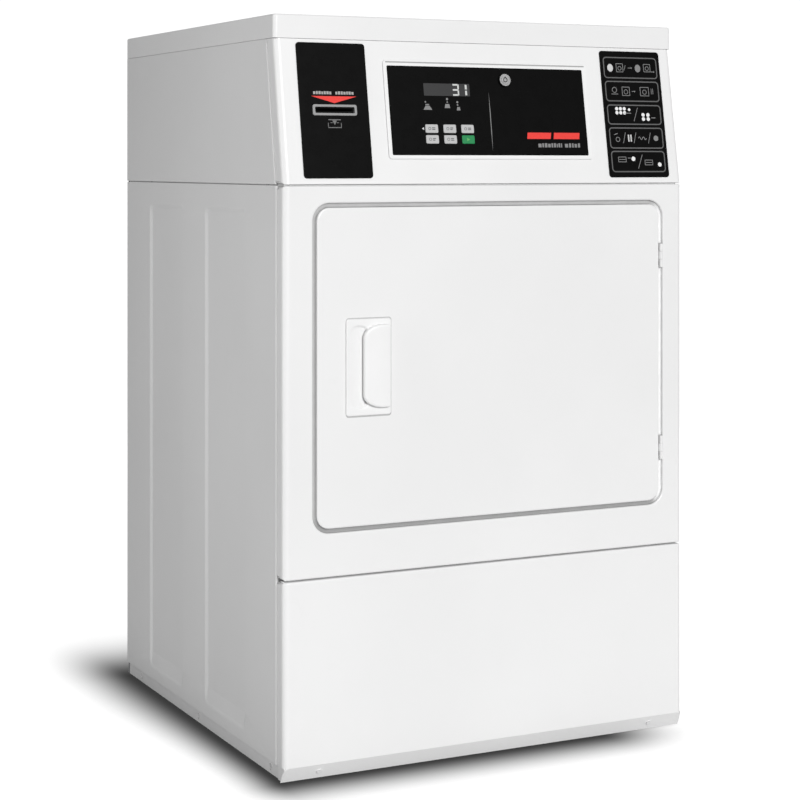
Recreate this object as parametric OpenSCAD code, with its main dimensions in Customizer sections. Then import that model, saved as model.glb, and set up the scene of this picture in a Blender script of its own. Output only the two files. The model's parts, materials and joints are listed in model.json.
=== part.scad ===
// Free-standing single tumble dryer for commercial use.
// Origin: centre of the footprint on the floor. +Z up, the door faces -Y,
// +X to the right when facing the door.
// Parts are drawn in cabinet coordinates (y = 0 on the front plane); from_front() centres them.
// Name endings: _w width, _h height, _d depth, _r radius, _c centre as [x, z].

/* [Cabinet] */
// Width over the side panels
cab_w = 683; // [680:1:690]
// Depth from the front plane to the outside of the rear panel
cab_d = 697; // [690:1:720]
// Height over the top cover
cab_h = 1108.5; // [1100:0.5:1140]
// Height of the kick strip under the lower access panel
toe_h = 23.7; // [23:0.1:25]
// Height of the seam between the lower access panel and the front panel
seam_low = 291.4; // [289:0.1:293]
// Height of the seam between the front panel and the control console
seam_high = 860.1; // [858:0.1:862]
// Height of the underside of the top cover
top_z = 1073.6; // [1070:0.1:1080]
// How far the console leans back over its height
console_lean = 35; // [30:1:38]
// Sheet metal thickness
sheet = 1.2; // [1:0.1:1.2]
// Outside bend radius on the vertical front edges
bend_r = 9; // [3:0.5:10]
// Depth of the side returns on the front panels
return_d = 24; // [20:0.5:24]
// Sideways offset of the door, drum and console features from the cabinet's centre plane
face_x = 4.8; // [0:0.1:5]

/* [Side panels] */
// Depth of the pressed stiffening recesses
emboss_d = 3.4; // [1:0.1:4]
// Front and rear edge of the front recess, from the front plane
emboss_front = [147, 311]; // [140:1:320]
// Front and rear edge of the rear recess, from the front plane
emboss_rear = [418, 572]; // [410:1:572]
// Bottom and top of both recesses
emboss_z = [43.5, 821]; // [40:0.5:830]

/* [Door] */
// Width of the door leaf
door_w = 588.4; // [580:0.1:590]
// Height of the door leaf
door_h = 465.4; // [460:0.1:468]
// Height of the door's centre above the floor
door_z = 594.8; // [592:0.1:597]
// Depth of the outer door skin
door_d = 19; // [17:0.5:19]
// Corner radius of the door leaf
door_r = 20; // [14:1:24]
// Gap all round the door leaf
door_gap = 6.4; // [6:0.1:6.8]
// Width of the loading opening
load_w = 460; // [440:1:460]
// Height of the loading opening
load_h = 360; // [340:1:360]
// Corner radius of the loading opening
load_r = 110; // [105:1:125]
// Heights of the two door hinges
hinge_z = [445, 747]; // [420:1:770]
// Radius of the hinge pins
pin_r = 1.4; // [1:0.1:1.5]

/* [Drum] */
// Outside radius of the drum
drum_r = 310; // [304:1:312]
// Height of the drum's axis
drum_z = 595; // [594:0.5:597]
// Front face of the drum, from the front plane
drum_front = 70; // [70:1:72]
// Rear edge of the drum's skirt
drum_rear = 560; // [555:1:562]
// Number of baffles
baffles = 3; // [2:1:4]
// Radius of the rear support rollers
roller_r = 38; // [34:1:40]

/* [Drive and air] */
// Motor axis, right of the cabinet's centre
motor_x = 150; // [145:1:155]
// Height of the motor axis
motor_z = 165; // [160:1:168]
// Radius of the grooved end of the motor shaft that drives the belt
pulley_r = 20; // [16:1:22]
// Radius of the idler pulley
idler_r = 25; // [22:1:28]
// Middle of the belt, from the front plane
belt_y = 400; // [395:1:405]
// Radius of the exhaust collar
exhaust_r = 50.8; // [50.3:0.1:50.9]
// Height of the exhaust
exhaust_z = 110; // [108:1:112]
// How far the exhaust collar stands out behind the rear panel
collar_len = 36; // [25:1:45]

/* [Console] */
// Width of the two black plates
plate_w = 110.4; // [106:0.2:116]
// Height of the two black plates, along the slope
plate_h = 201; // [196:0.5:202]
// Distance of each plate's centre from the console's centre line
plate_x = 258.8; // [257:0.2:260]
// Size of one key: width, height
key_size = [21.2, 12.8]; // [10:0.2:22]
// Radius of the lock core
core_r = 6.6; // [5:0.1:7]

/* [Hidden] */
$fn = 64;

handle_out = 12; // how far the handle stands out in front
front_y = -(cab_d + collar_len - handle_out) / 2;
slope = atan2(console_lean, top_z - seam_high);
slope_len = norm([console_lean, top_z - seam_high]);
fit = 0.05; // radial clearance of running fits

white = [0.93, 0.93, 0.93];
black = [0.07, 0.07, 0.07];
steel = [0.75, 0.76, 0.78];
zinc = [0.66, 0.68, 0.70];
grey = [0.45, 0.45, 0.46];
rubber = [0.12, 0.12, 0.12];

// ---- helpers ----
module rounded(w, h, radius) {
  square([w - 2 * radius, h], center = true);
  square([w, h - 2 * radius], center = true);
  for (i = [-1, 1], j = [-1, 1])
    translate([i * (w / 2 - radius), j * (h / 2 - radius)]) circle(radius);
}
// a drawing in x-z pushed along +y
module along_y(y, depth)
  translate([0, y + depth, 0]) rotate([90, 0, 0]) linear_extrude(height = depth) children();
// a drawing in y-z pushed along +x
module along_x(x, depth)
  translate([x, 0, 0]) rotate([90, 0, 90]) linear_extrude(height = depth) children();
// a drawing in radius-y turned about an axis along y
module turned(x, z) translate([x, 0, z]) rotate([-90, 0, 0]) rotate_extrude() children();
// cylinder along +y
module rod(x, y, z, radius, length)
  translate([x, y, z]) rotate([-90, 0, 0]) cylinder(r = radius, h = length);
// outline of a panel with bent sides, seen from above, solid and hollow
module panel_plan(w, depth, radius) {
  translate([-w / 2 + radius, 0]) square([w - 2 * radius, depth]);
  translate([-w / 2, radius]) square([w, depth - radius]);
  for (i = [-1, 1]) translate([i * (w / 2 - radius), radius]) circle(radius);
}
module bent_plan(w, depth, radius) difference() {
  panel_plan(w, depth, radius);
  translate([0, sheet]) panel_plan(w - 2 * sheet, depth, max(radius - sheet, 0.3));
}
// door leaf and loading opening in x-z, enlarged all round by grow
module door_outline(grow = 0)
  translate([face_x, door_z]) rounded(door_w + 2 * grow, door_h + 2 * grow, door_r + grow);
module load_outline(grow = 0)
  translate([face_x, drum_z]) rounded(load_w + 2 * grow, load_h + 2 * grow, load_r + grow);
// on the console: x across, y behind the face, z up the slope
module on_console() translate([0, 0, seam_high]) rotate([-slope, 0, 0]) children();
module from_front() translate([0, front_y, 0]) children();

// ---- cabinet ----
leg_x = 300;
leg_y = [60, 640];
corner_r = 5; // corners of the front panels, seen from the front
side_proud = 1.2; // how far the side skins stand outside cab_w
skin_x = -cab_w / 2 - side_proud;
side_rear = cab_d - 1.4;
flange_d = 18; // flanges along the panel seams
seam_gap = 1.2;

module base_pan() color(zinc) from_front() {
  w = cab_w - 6.6;
  front = 14.5;
  depth = cab_d - 3 - front;
  difference() {
    union() {
      difference() {
        translate([-w / 2, front, 3]) cube([w, depth, 21]);
        translate([-w / 2 + sheet, front + sheet, 2])
          cube([w - 2 * sheet, depth - 2 * sheet, 20.8]);
      }
      for (i = [-1, 1], y = leg_y) translate([i * leg_x, y, 12]) cylinder(r = 10, h = 11);
    }
    for (i = [-1, 1], y = leg_y)
      translate([i * leg_x, y, 0]) cylinder(r = leg_thread_r + fit, h = 30);
    // lightening holes that also let water out
    for (x = [-180, -60, 60, 180], y = [110, 520]) translate([x, y, 10]) cylinder(r = 14, h = 20);
  }
}

// block of one pressed recess between two distances inside the left skin
module recess(edges, from, to, grow)
  translate([skin_x + from, edges[0] - grow, emboss_z[0] - grow])
    cube([to - from, edges[1] - edges[0] + 2 * grow, emboss_z[1] - emboss_z[0] + 2 * grow]);
// drawn on the left; flip = 1 mirrors it to the right
module side_panel(flip) color(white) from_front() mirror([flip, 0, 0]) {
  front = return_d + 0.6;
  bottom = 24.2;
  top = seam_high - 0.6;
  difference() {
    union() {
      translate([skin_x, (front + side_rear) / 2, bottom]) linear_extrude(height = top - bottom)
        rotate(-90) bent_plan(side_rear - front, 16, 3);
      for (edges = [emboss_front, emboss_rear]) recess(edges, 0.3, emboss_d + sheet, sheet);
    }
    for (edges = [emboss_front, emboss_rear]) recess(edges, -1, emboss_d, 0);
  }
}
module side_panel_left() side_panel(0);
module side_panel_right() side_panel(1);

// y just behind the control panel's side returns at height z
function behind_console(z) = (return_d + 3.6 + (z - seam_high) * sin(slope)) / cos(slope);
module hood_side(flip) color(white) from_front() mirror([flip, 0, 0]) {
  bottom = seam_high + 1.2;
  top = top_z - 0.4;
  front_low = behind_console(bottom);
  front_high = behind_console(top);
  flange_w = 14;
  along_x(skin_x, sheet)
    polygon([[front_low, bottom], [front_high, top], [side_rear, top], [side_rear, bottom]]);
  along_x(skin_x, flange_w) polygon([
    [front_low, bottom], [front_high, top], [front_high + sheet, top], [front_low + sheet, bottom]]);
  along_x(skin_x, flange_w) translate([side_rear - sheet, bottom]) square([sheet, top - bottom]);
}
module hood_side_left() hood_side(0);
module hood_side_right() hood_side(1);

module top_cover() color(white) from_front() {
  w = cab_w + 3;
  front = console_lean - 1.5;
  depth = cab_d - front;
  radius = 6;
  translate([0, front + depth / 2, 0]) difference() {
    translate([0, 0, top_z]) linear_extrude(height = cab_h - top_z) rounded(w, depth, radius);
    translate([0, 0, top_z - 1]) linear_extrude(height = cab_h - top_z + 1 - sheet)
      rounded(w - 2 * sheet, depth - 2 * sheet, radius - sheet);
  }
}

module rear_panel() color(zinc) from_front() difference() {
  translate([-cab_w / 2 + 2.5, cab_d - sheet, 4]) cube([cab_w - 5, sheet, top_z - 5]);
  rod(0, cab_d - 5, exhaust_z, 50, 10);
  rod(-255, cab_d - 5, 210, 14, 10);
  // two columns of slots
  for (i = [0:11], x = [-150, 40]) translate([x, cab_d - 5, 420 + 28 * i]) cube([110, 10, 7]);
}

// a flat front panel with side returns, and a flange at each height in flange_z
module front_sheet(bottom, top, flange_z) {
  translate([0, 0, bottom]) linear_extrude(height = top - bottom)
    bent_plan(cab_w, return_d, bend_r);
  for (z = flange_z)
    translate([0, 0, z]) linear_extrude(height = sheet) panel_plan(cab_w, flange_d, bend_r);
}

module front_panel() color(white) from_front() {
  bottom = seam_low + seam_gap;
  top = seam_high - seam_gap;
  difference() {
    union() {
      difference() {
        intersection() {
          front_sheet(bottom, top, [bottom, top - sheet]);
          along_y(-1, 40) translate([0, (bottom + top) / 2]) rounded(cab_w, top - bottom, corner_r);
        }
        along_y(-1, 5) door_outline(door_gap);
      }
      // walls and back of the door recess
      along_y(0, 25.2) difference() {
        door_outline(door_gap + sheet);
        door_outline(door_gap);
      }
      along_y(24, sheet) difference() {
        translate([face_x, door_z]) rounded(door_w + 2 * door_gap + sheet,
          door_h + 2 * door_gap + sheet, door_r + door_gap);
        load_outline(-sheet);
      }
    }
    strike_slot(10);
    switch_rod(20, 3.9, 10);
  }
}

module lower_panel() color(white) from_front() {
  top = seam_low - seam_gap;
  intersection() {
    front_sheet(toe_h, top, [top - sheet]);
    along_y(-1, 40) translate([0, top / 2 - 15]) rounded(cab_w, top + 30, corner_r);
  }
  // kick strip bent back under the panel, closed at both ends; points are [y, z]
  intersection() {
    along_x(-cab_w / 2, cab_w) polygon([
      [0, toe_h + 0.3], [0, toe_h], [12.4, 1.4], [13.4, 2.0], [sheet, toe_h + 0.6]]);
    translate([0, 0, -1]) linear_extrude(height = toe_h + 3) panel_plan(cab_w, return_d, bend_r);
  }
  for (side = [-1, 1]) along_x(side * (cab_w / 2 - 2.2) - sheet / 2, sheet) polygon([
    [1.5, toe_h + 0.4], [1.5, toe_h - 2.7], [12.4, 1.4], [14.2, 1.6],
    [14.2, 3], [return_d, 3], [return_d, toe_h + 0.4]]);
}

// ---- console ----
// centres are [x, distance up the slope]
bezel_c = [face_x + 0.4, 112.6];
reader_c = [face_x - plate_x, 110.2];
lock_c = [33.9, 160];
key_x = [-97.1, -66.7, -36.5];
key_up = [84, 67.8];
key_r = 2;

// rounded slab lying parallel to the console face
module slab(y, depth, centre, w, h, radius)
  along_y(y, depth) translate(centre) rounded(w, h, radius);
module bezel_opening() on_console() slab(-8, 16, bezel_c, 340.6, 135.6, 3);
module reader_opening() on_console() slab(-8, 16, reader_c, 69, 15, 2);

module control_panel() color(white) from_front() difference() {
  intersection() {
    on_console() translate([0, 0, -10]) linear_extrude(height = slope_len + 20)
      bent_plan(cab_w, return_d + 3, bend_r);
    translate([-500, -20, seam_high + 1.0]) cube([1000, 200, top_z - seam_high - 1.4]);
    along_y(-20, 120) translate([0, seam_high + 1 + 150]) rounded(cab_w, 300, corner_r);
  }
  bezel_opening();
  reader_opening();
}

module black_plate(x)
  on_console() slab(-1.4, 1.4, [x, 9.6 + plate_h / 2], plate_w, plate_h, 5);
module card_reader_plate() color(black) from_front() difference() {
  black_plate(face_x - plate_x);
  reader_opening();
}
module instruction_plate() color(black) from_front() black_plate(face_x + plate_x);

module card_reader() color(grey) from_front() on_console() difference() {
  union() {
    slab(-3.4, 2, reader_c, 70.4, 16.2, 3);
    slab(-2, 5, reader_c, 68, 14, 2);
    slab(2, 42, reader_c, 96, 60, 4);
  }
  slab(-5, 3.2, reader_c, 63, 9, 1.5);
  // card slot
  along_y(-3, 36) translate(reader_c) square([56, 2.4], center = true);
}

// outer and inner are [width, height, corner radius]
module bezel_ring(y, depth, outer, inner) along_y(y, depth) translate(bezel_c) difference() {
  rounded(outer[0], outer[1], outer[2]);
  rounded(inner[0], inner[1], inner[2]);
}
module console_bezel() color(white) from_front() on_console() {
  edge = [351.6, 149, 5];
  window = [334, 129, 2];
  bezel_ring(-2.2, 1.8, edge, [343.4, 138.4, 2.5]);
  bezel_ring(-0.4, 0.4, edge, window);
  bezel_ring(-0.1, 6, [340, 135, 3], window);
}

module display_overlay() color(black) from_front() on_console() difference() {
  slab(-1.6, 1.2, bezel_c, 343, 138, 2.3);
  for (x = key_x, up = key_up) slab(-5, 10, [x, up], key_size[0] + 0.6, key_size[1] + 0.6, 2.2);
  rod(lock_c[0], -5, lock_c[1], 8.9, 10);
}

// cap with a flange behind the overlay
module key_cap(column, row, colour) color(colour) from_front() on_console() {
  centre = [key_x[column], key_up[row]];
  slab(-2.4, 2.1, centre, key_size[0], key_size[1], key_r);
  slab(-0.35, 1, centre, key_size[0] + 3, key_size[1] + 2, key_r);
}
module key_1() key_cap(0, 0, white);
module key_2() key_cap(1, 0, white);
module key_3() key_cap(2, 0, white);
module key_4() key_cap(0, 1, white);
module key_5() key_cap(1, 1, white);
module key_start() key_cap(2, 1, [0.08, 0.58, 0.27]);

module control_board() color([0.08, 0.35, 0.18]) from_front() on_console() {
  board_y = 8;
  part_y = board_y + 1.5;
  translate([-158, board_y, 50]) cube([168, 1.6, 122]);
  // block between the board and the overlay
  translate([-106, 0.2, 134]) cube([80, 8, 18]);
  // one post behind each key
  for (x = key_x, up = key_up) rod(x, 2.2, up, 3, 6);
  // blocks on the back
  translate([-150, part_y, 60]) cube([40, 22, 36]);
  for (i = [0:3]) translate([-95 + 24 * i, part_y, 60]) cube([16, 15, 28]);
  translate([-80, part_y, 120]) cube([60, 10, 14]);
}

module lock_housing() color(steel) from_front() on_console() difference() {
  union() {
    rod(lock_c[0], -4.2, lock_c[1], 10.6, 2.55);
    rod(lock_c[0], -2, lock_c[1], 8.6, 22);
    rod(lock_c[0], 0.2, lock_c[1], 12.5, 4);
  }
  rod(lock_c[0], -6, lock_c[1], core_r + fit, 30);
}
module lock_core() color(steel) from_front() on_console() difference() {
  union() {
    rod(lock_c[0], -4.8, lock_c[1], core_r, 29);
    // cam at the rear
    translate([lock_c[0] - 5, 21, lock_c[1] - 28]) cube([10, 2, 34]);
  }
  // round keyway with its drive notch
  turned(lock_c[0], lock_c[1]) translate([2.5, -6]) square([1.3, 8]);
  translate([lock_c[0] - 0.7, -6, lock_c[1] + 3]) cube([1.4, 8, 2.2]);
}

// ---- door ----
catch_x = -262;
switch_r = 3.5;
liner_y = door_d + 0.1;

// opening for the strike prong, and a rod on the switch axis
module strike_slot(depth) translate([catch_x - 6, 20, drum_z - 11]) cube([12, depth, 22]);
module switch_rod(y, radius, length) rod(catch_x, y, drum_z + 26, radius, length);
// block in the handle opening, inset all round
module handle_block(inset, y, depth)
  translate([-242 + inset, y, 536 + inset]) cube([39 - 2 * inset, depth, 116 - 2 * inset]);

module door_outer() color(white) from_front() difference() {
  along_y(0, door_d) door_outline();
  along_y(sheet, door_d) door_outline(-sheet);
  handle_block(0, -2, 10);
}
module door_liner() color([0.88, 0.88, 0.88]) from_front() {
  dish_inset = 15;
  difference() {
    union() {
      along_y(liner_y, sheet) door_outline();
      along_y(liner_y + 0.2, 11) load_outline(-dish_inset);
    }
    along_y(liner_y - 1, 12 - sheet) load_outline(-dish_inset - sheet);
  }
  // strike prong
  translate([catch_x - 3, liner_y + 0.5, drum_z - 8]) cube([6, 17, 16]);
}
module door_seal() color(rubber) from_front()
  along_y(door_d + 1.35, 3.2) translate([face_x, drum_z]) difference() {
    rounded(load_w + 30, load_h + 30, load_r + 12);
    rounded(load_w + 8, load_h + 8, load_r + 3);
  }
module door_handle() color(white) from_front() difference() {
  union() {
    along_y(-3.2, 3.15) translate([-207.7, 594.3]) rounded(72.4, 141.4, 4);
    handle_block(0.5, -0.5, 15.5);
    // pull, rounded on its left side
    along_y(-handle_out, handle_out - 3) {
      translate([-208.5, 594.5]) rounded(28, 125, 13.9);
      translate([-208, 532]) square([32.5, 125]);
    }
  }
  handle_block(2, -9, 22.5);
}

hinge_x = face_x + door_w / 2 + door_gap / 2;
hinge_y = -0.6;
knuckle_r = 2.7;
knuckle_h = 12;
bracket_half = 18.4; // half the height of a bracket's knuckle pair
leaf_reach = door_gap / 2 - 0.05; // from the pin axis to the far side of a leaf
arm_front = hinge_y - 0.9;

module hinge_rod(z, radius, height)
  translate([hinge_x, hinge_y, z]) cylinder(r = radius, h = height, $fn = 48);

module hinge_straps() color(steel) from_front() for (z = hinge_z) {
  bottom = z - knuckle_h / 2;
  difference() {
    union() {
      hinge_rod(bottom, knuckle_r, knuckle_h);
      translate([hinge_x - leaf_reach, arm_front, bottom]) cube([door_gap / 2, 1.8, knuckle_h]);
    }
    hinge_rod(z - 10, pin_r + fit, 20);
  }
  translate([hinge_x - leaf_reach, arm_front, bottom]) cube([sheet, 15, knuckle_h]);
}
module hinge_brackets() color(steel) from_front() for (z = hinge_z) {
  leaf_x = hinge_x + leaf_reach - sheet;
  for (bottom = [z - bracket_half, z + bracket_half - knuckle_h]) {
    difference() {
      union() {
        hinge_rod(bottom, knuckle_r, knuckle_h);
        translate([hinge_x, arm_front, bottom]) cube([leaf_reach, 1.8, knuckle_h]);
      }
      hinge_rod(bottom - 2, pin_r + 0.02, 20);
    }
    translate([leaf_x, arm_front, bottom]) cube([sheet, 15, knuckle_h]);
  }
  translate([leaf_x, 4, z - bracket_half]) cube([sheet, 10.1, 2 * bracket_half]);
}
module hinge_pins() color(steel) from_front() for (z = hinge_z) {
  hinge_rod(z - 19, pin_r, 38);
  hinge_rod(z + 18.6, 2.4, 1.2);
}

module door_catch() color([0.85, 0.85, 0.85]) from_front() difference() {
  translate([catch_x - 14, 25.3, drum_z - 20]) cube([28, 30, 58]);
  strike_slot(27);
  switch_rod(20, switch_r + fit, 26);
}
module switch_plunger() color([0.8, 0.1, 0.1]) from_front() switch_rod(door_d + 1.5, switch_r, 20);

// ---- drum ----
bulkhead_w = cab_w - 3.8;
front_bulkhead_y = 62;
rear_bulkhead_y = 575;
ring_r = 250; // ring on the front bulkhead that carries the felt
mouth_r = 256; // inside radius of the drum's front lip
axle_r = 6.35;
// drum axis to roller axis, as [x, z]
roller_offset = (drum_r + roller_r + 0.2) * [sin(35), -cos(35)];
roller_z = drum_z + roller_offset[1];
function roller_x(side) = face_x + side * roller_offset[0];

module front_bulkhead() color(zinc) from_front() difference() {
  union() {
    along_y(front_bulkhead_y, sheet) difference() {
      translate([0, 594.5]) square([bulkhead_w, 621], center = true);
      load_outline(-sheet);
    }
    // tunnel forward to the front panel
    along_y(return_d + 1.4, front_bulkhead_y + 0.2 - return_d - 1.4) difference() {
      load_outline();
      load_outline(-sheet);
    }
    along_y(front_bulkhead_y + 1, 27) translate([face_x, drum_z]) difference() {
      circle(ring_r);
      circle(ring_r - 1.2);
    }
  }
  // slot in the tunnel floor above the lint filter
  translate([face_x - 117, 34, drum_z - load_h / 2 - 5]) cube([234, 16, 10]);
}
module front_felt_seal() color([0.55, 0.52, 0.45]) from_front()
  turned(face_x, drum_z) translate([ring_r + fit, 72]) square([5.6, 16]);

module drum() color(steel) from_front() difference() {
  turned(face_x, drum_z) {
    translate([drum_r - sheet, drum_front]) square([sheet, drum_rear - drum_front]);
    translate([mouth_r, drum_front]) square([drum_r - mouth_r, sheet]);
    translate([mouth_r, drum_front]) square([sheet, 20]);
    translate([0, drum_rear - 20]) square([drum_r - 0.2, sheet]);
  }
  // rings of air holes in the back
  for (ring = [0:3]) {
    count = 8 + 6 * ring;
    radius = 60 + 40 * ring;
    for (i = [0:count - 1])
      rod(face_x + radius * cos(360 * i / count), drum_rear - 30,
        drum_z + radius * sin(360 * i / count), 7, 20);
  }
}
module drum_baffles() color(steel) from_front() for (k = [0:baffles - 1])
  along_y(96, 440) translate([face_x, drum_z]) rotate(90 + 360 * k / baffles) intersection() {
    nose = 246; // centre of the rounded inner edge
    circle(drum_r - sheet - 0.1);
    union() {
      polygon([[nose, -13.2], [nose, 13.2], [drum_r + 5, 42], [drum_r + 5, -42]]);
      translate([nose, 0]) circle(14);
    }
  }

module rear_bulkhead() color(zinc) from_front() {
  along_y(rear_bulkhead_y, sheet) difference() {
    translate([0, 595]) square([bulkhead_w, 690], center = true);
    translate([face_x, drum_z]) circle(200);
  }
  // roller axles and their bosses
  for (side = [-1, 1]) {
    rod(roller_x(side), rear_bulkhead_y - 51, roller_z, axle_r, 51.2);
    rod(roller_x(side), rear_bulkhead_y - 6, roller_z, 13, 6.2);
  }
}
module roller(side) color(rubber) from_front() difference() {
  turned(roller_x(side), roller_z) {
    translate([0, 528]) square([14, 26]);
    translate([0, 530]) square([roller_r - 9, 20]);
    translate([20, 529]) square([roller_r - 20, 22]);
  }
  rod(roller_x(side), 500, roller_z, axle_r + fit, 80);
}
module roller_left() roller(-1);
module roller_right() roller(1);

// ---- belt drive ----
// A belt span from one circle to the next, on the outside of an anticlockwise loop:
// direction of its tangent points from the centres, and the two points
function span_angle(from_c, from_r, to_c, to_r) =
  let (reach = to_c - from_c)
  atan2(reach[1], reach[0]) - acos((from_r - to_r) / norm(reach));
function span(from_c, from_r, to_c, to_r) =
  let (angle = span_angle(from_c, from_r, to_c, to_r), outward = [cos(angle), sin(angle)])
  [from_c + from_r * outward, to_c + to_r * outward];

drum_c = [face_x, drum_z];
motor_c = [motor_x, motor_z];
// the idler pushes out the straight span from drum to motor
free_angle = span_angle(drum_c, drum_r, motor_c, pulley_r);
free_span = span(drum_c, drum_r, motor_c, pulley_r);
idler_c = free_span[0] + 0.62 * (free_span[1] - free_span[0])
  - (idler_r - 12) * [cos(free_angle), sin(free_angle)];
pivot_c = idler_c + [68, -6];

shaft_r = 6.35;
motor_boss_r = 30;
pivot_r = 5;
idler_pin_r = 4;
arm_y = 412;
spring_x = pivot_c[0] - 39;
bracket_z = 24.1;
bracket_y = [184, 323]; // front faces of its two upright plates
bracket_sheet = 3;

// area inside the belt loop, lifted off the pulleys
module belt_plan(lift) {
  rim_drum = drum_r + lift;
  rim_idler = idler_r + lift;
  rim_motor = pulley_r + lift;
  translate(drum_c) circle(rim_drum);
  translate(idler_c) circle(rim_idler);
  translate(motor_c) circle(rim_motor);
  to_idler = span(drum_c, rim_drum, idler_c, rim_idler);
  to_motor = span(idler_c, rim_idler, motor_c, rim_motor);
  to_drum = span(motor_c, rim_motor, drum_c, rim_drum);
  polygon([to_idler[0], to_idler[1], to_motor[0], to_motor[1], to_drum[0], to_drum[1], drum_c]);
  polygon([drum_c, to_idler[0], to_idler[1], idler_c]);
  polygon([idler_c, to_motor[0], to_motor[1], motor_c]);
  polygon([motor_c, to_drum[0], to_drum[1], drum_c]);
  polygon([drum_c, idler_c, motor_c]);
}
module drum_belt() color(rubber) from_front() along_y(belt_y - 6, 12) difference() {
  belt_plan(3);
  belt_plan(0.2);
}

module motor() color([0.35, 0.37, 0.40]) from_front() difference() {
  union() {
    rod(motor_x, 192, motor_z, 70, 126);
    rod(motor_x, 180, motor_z, motor_boss_r, 150);
    translate([motor_x - 36, 214, motor_z + 50]) cube([72, 70, 46]);
  }
  rod(motor_x, 100, motor_z, shaft_r + fit, 300);
}
module motor_shaft() color(steel) from_front() {
  rod(motor_x, 64.5, motor_z, shaft_r, 350);
  rod(motor_x, belt_y - 9, motor_z, pulley_r, 18);
}
module motor_bracket() color(zinc) from_front() {
  rear = bracket_y[1];
  difference() {
    union() {
      translate([motor_x - 62, bracket_y[0], bracket_z])
        cube([124, rear + bracket_sheet - bracket_y[0], 2]);
      for (y = bracket_y)
        translate([motor_x - 50, y, bracket_z]) cube([100, bracket_sheet, motor_z + 14]);
      translate([pivot_c[0] - 12, rear, bracket_z])
        cube([motor_x - pivot_c[0] + 12, bracket_sheet, pivot_c[1] - 24 + 12]);
    }
    for (y = bracket_y) rod(motor_x, y - 1, motor_z, motor_boss_r + 0.1, 6);
  }
  rod(pivot_c[0], rear + 2, pivot_c[1], pivot_r, 100);
  // spring anchor
  translate([spring_x - 8, rear, 60]) cube([40, bracket_sheet, 16]);
  translate([spring_x - 8, rear, 60]) cube([16, 96, 3]);
}

module idler_arm() color(zinc) from_front() {
  reach = idler_c - pivot_c;
  along_y(arm_y, 4) difference() {
    union() {
      translate(pivot_c) circle(11);
      translate(idler_c) circle(9);
      translate(pivot_c) rotate(atan2(reach[1], reach[0]))
        translate([0, -8]) square([norm(reach), 16]);
    }
    translate(pivot_c) circle(pivot_r + fit);
  }
  rod(idler_c[0], belt_y - 10, idler_c[1], idler_pin_r, 23);
}
module idler_pulley() color(grey) from_front() difference() {
  rod(idler_c[0], belt_y - 8, idler_c[1], idler_r, 16);
  rod(idler_c[0], belt_y - 20, idler_c[1], idler_pin_r + fit, 40);
}
// closely wound tension spring between the anchor and the arm: stacked rings joined by a sleeve
module idler_spring() color(steel) from_front() translate([spring_x, arm_y + 2, 0])
  rotate_extrude() {
    coils = 30;
    first = 65.2;
    rise = pivot_c[1] - 14 - 1 - first;
    for (i = [0:coils - 1])
      translate([5, first + rise * i / (coils - 1)]) circle(r = 1, $fn = 16);
    translate([4.6, first]) square([0.8, rise]);
  }

// ---- air path ----
blower_y = 63;
blower_d = 76;
blower_wall = 1;
blower_r = 106;
inlet_r = 61;
duct_r = 48.8; // bore of the exhaust duct
fan_r = 92;
fan_y = 74;
filter_y = 36;
heater_w = 430;
heater_wall = 1;

// scroll round the motor axis with a box out to the left
module blower_volume(inset) {
  y = blower_y + inset;
  depth = blower_d - 2 * inset;
  rod(motor_x, y, motor_z, blower_r - inset, depth);
  translate([-56 + inset, y, 56 + inset]) cube([motor_x + 56 - inset, depth, 106 - 2 * inset]);
}
module blower_housing() color(zinc) from_front() difference() {
  union() {
    blower_volume(0);
    rod(motor_x, 58.2, motor_z, inlet_r + 1, 6);
  }
  blower_volume(blower_wall);
  rod(motor_x, 50, motor_z, inlet_r, 20);
  rod(motor_x, 120, motor_z, 8, 40);
  rod(0, 120, exhaust_z, duct_r, 40);
}
module blower_impeller() color([0.2, 0.2, 0.22]) from_front() difference() {
  union() {
    rod(motor_x, 128, motor_z, fan_r, 2);
    rod(motor_x, 80, motor_z, 14, 49);
    along_y(fan_y, 3) translate(motor_c) difference() {
      circle(fan_r);
      circle(64);
    }
    for (i = [0:15]) translate([motor_x, 0, motor_z]) rotate([0, i * 22.5, 0])
      translate([66, fan_y, -0.8]) cube([25, 55, 1.6]);
  }
  rod(motor_x, 60, motor_z, shaft_r, 90);
}

// outline of the chute in x-z; its top edge is not inset
module chute_plan(inset) {
  half = 122 - inset;
  right = motor_x + 90 - inset;
  bottom = 90 + inset;
  polygon([
    [face_x - half, 413.4], [face_x + half, 413.4], [face_x + half, 330],
    [right, 240], [right, bottom], [motor_x - 76 + inset, bottom], [face_x - half, 280]]);
}
module lint_chute() color(zinc) from_front() difference() {
  along_y(27, 31) chute_plan(0);
  along_y(28, 29) chute_plan(1);
  translate([face_x - 118, 34, 400]) cube([236, 16, 30]);
  rod(motor_x, 50, motor_z, inlet_r, 20);
}
module lint_filter() color([0.82, 0.84, 0.86]) from_front() {
  difference() {
    translate([face_x - 115, filter_y, 290]) cube([230, 12, 128]);
    translate([face_x - 107, filter_y - 1, 298]) cube([214, 14, 108]);
  }
  // screen
  translate([face_x - 107.2, filter_y + 5.6, 297.8]) cube([214.4, 0.8, 108.4]);
  // grip
  translate([face_x - 60, filter_y - 1, 417.5]) cube([120, 14, 9]);
}

module heater_box() color(steel) from_front() difference() {
  half = heater_w / 2;
  inner = half - heater_wall;
  translate([face_x - half, 576.4, drum_z - half]) cube([heater_w, 66, heater_w]);
  translate([face_x - inner, 570, drum_z - inner]) cube([2 * inner, 71.4, 2 * inner]);
  // slots in the floor
  for (i = [0:6])
    translate([face_x - 150 + 45 * i, 600, drum_z - half - 5]) cube([30, 20, 10]);
}
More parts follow.
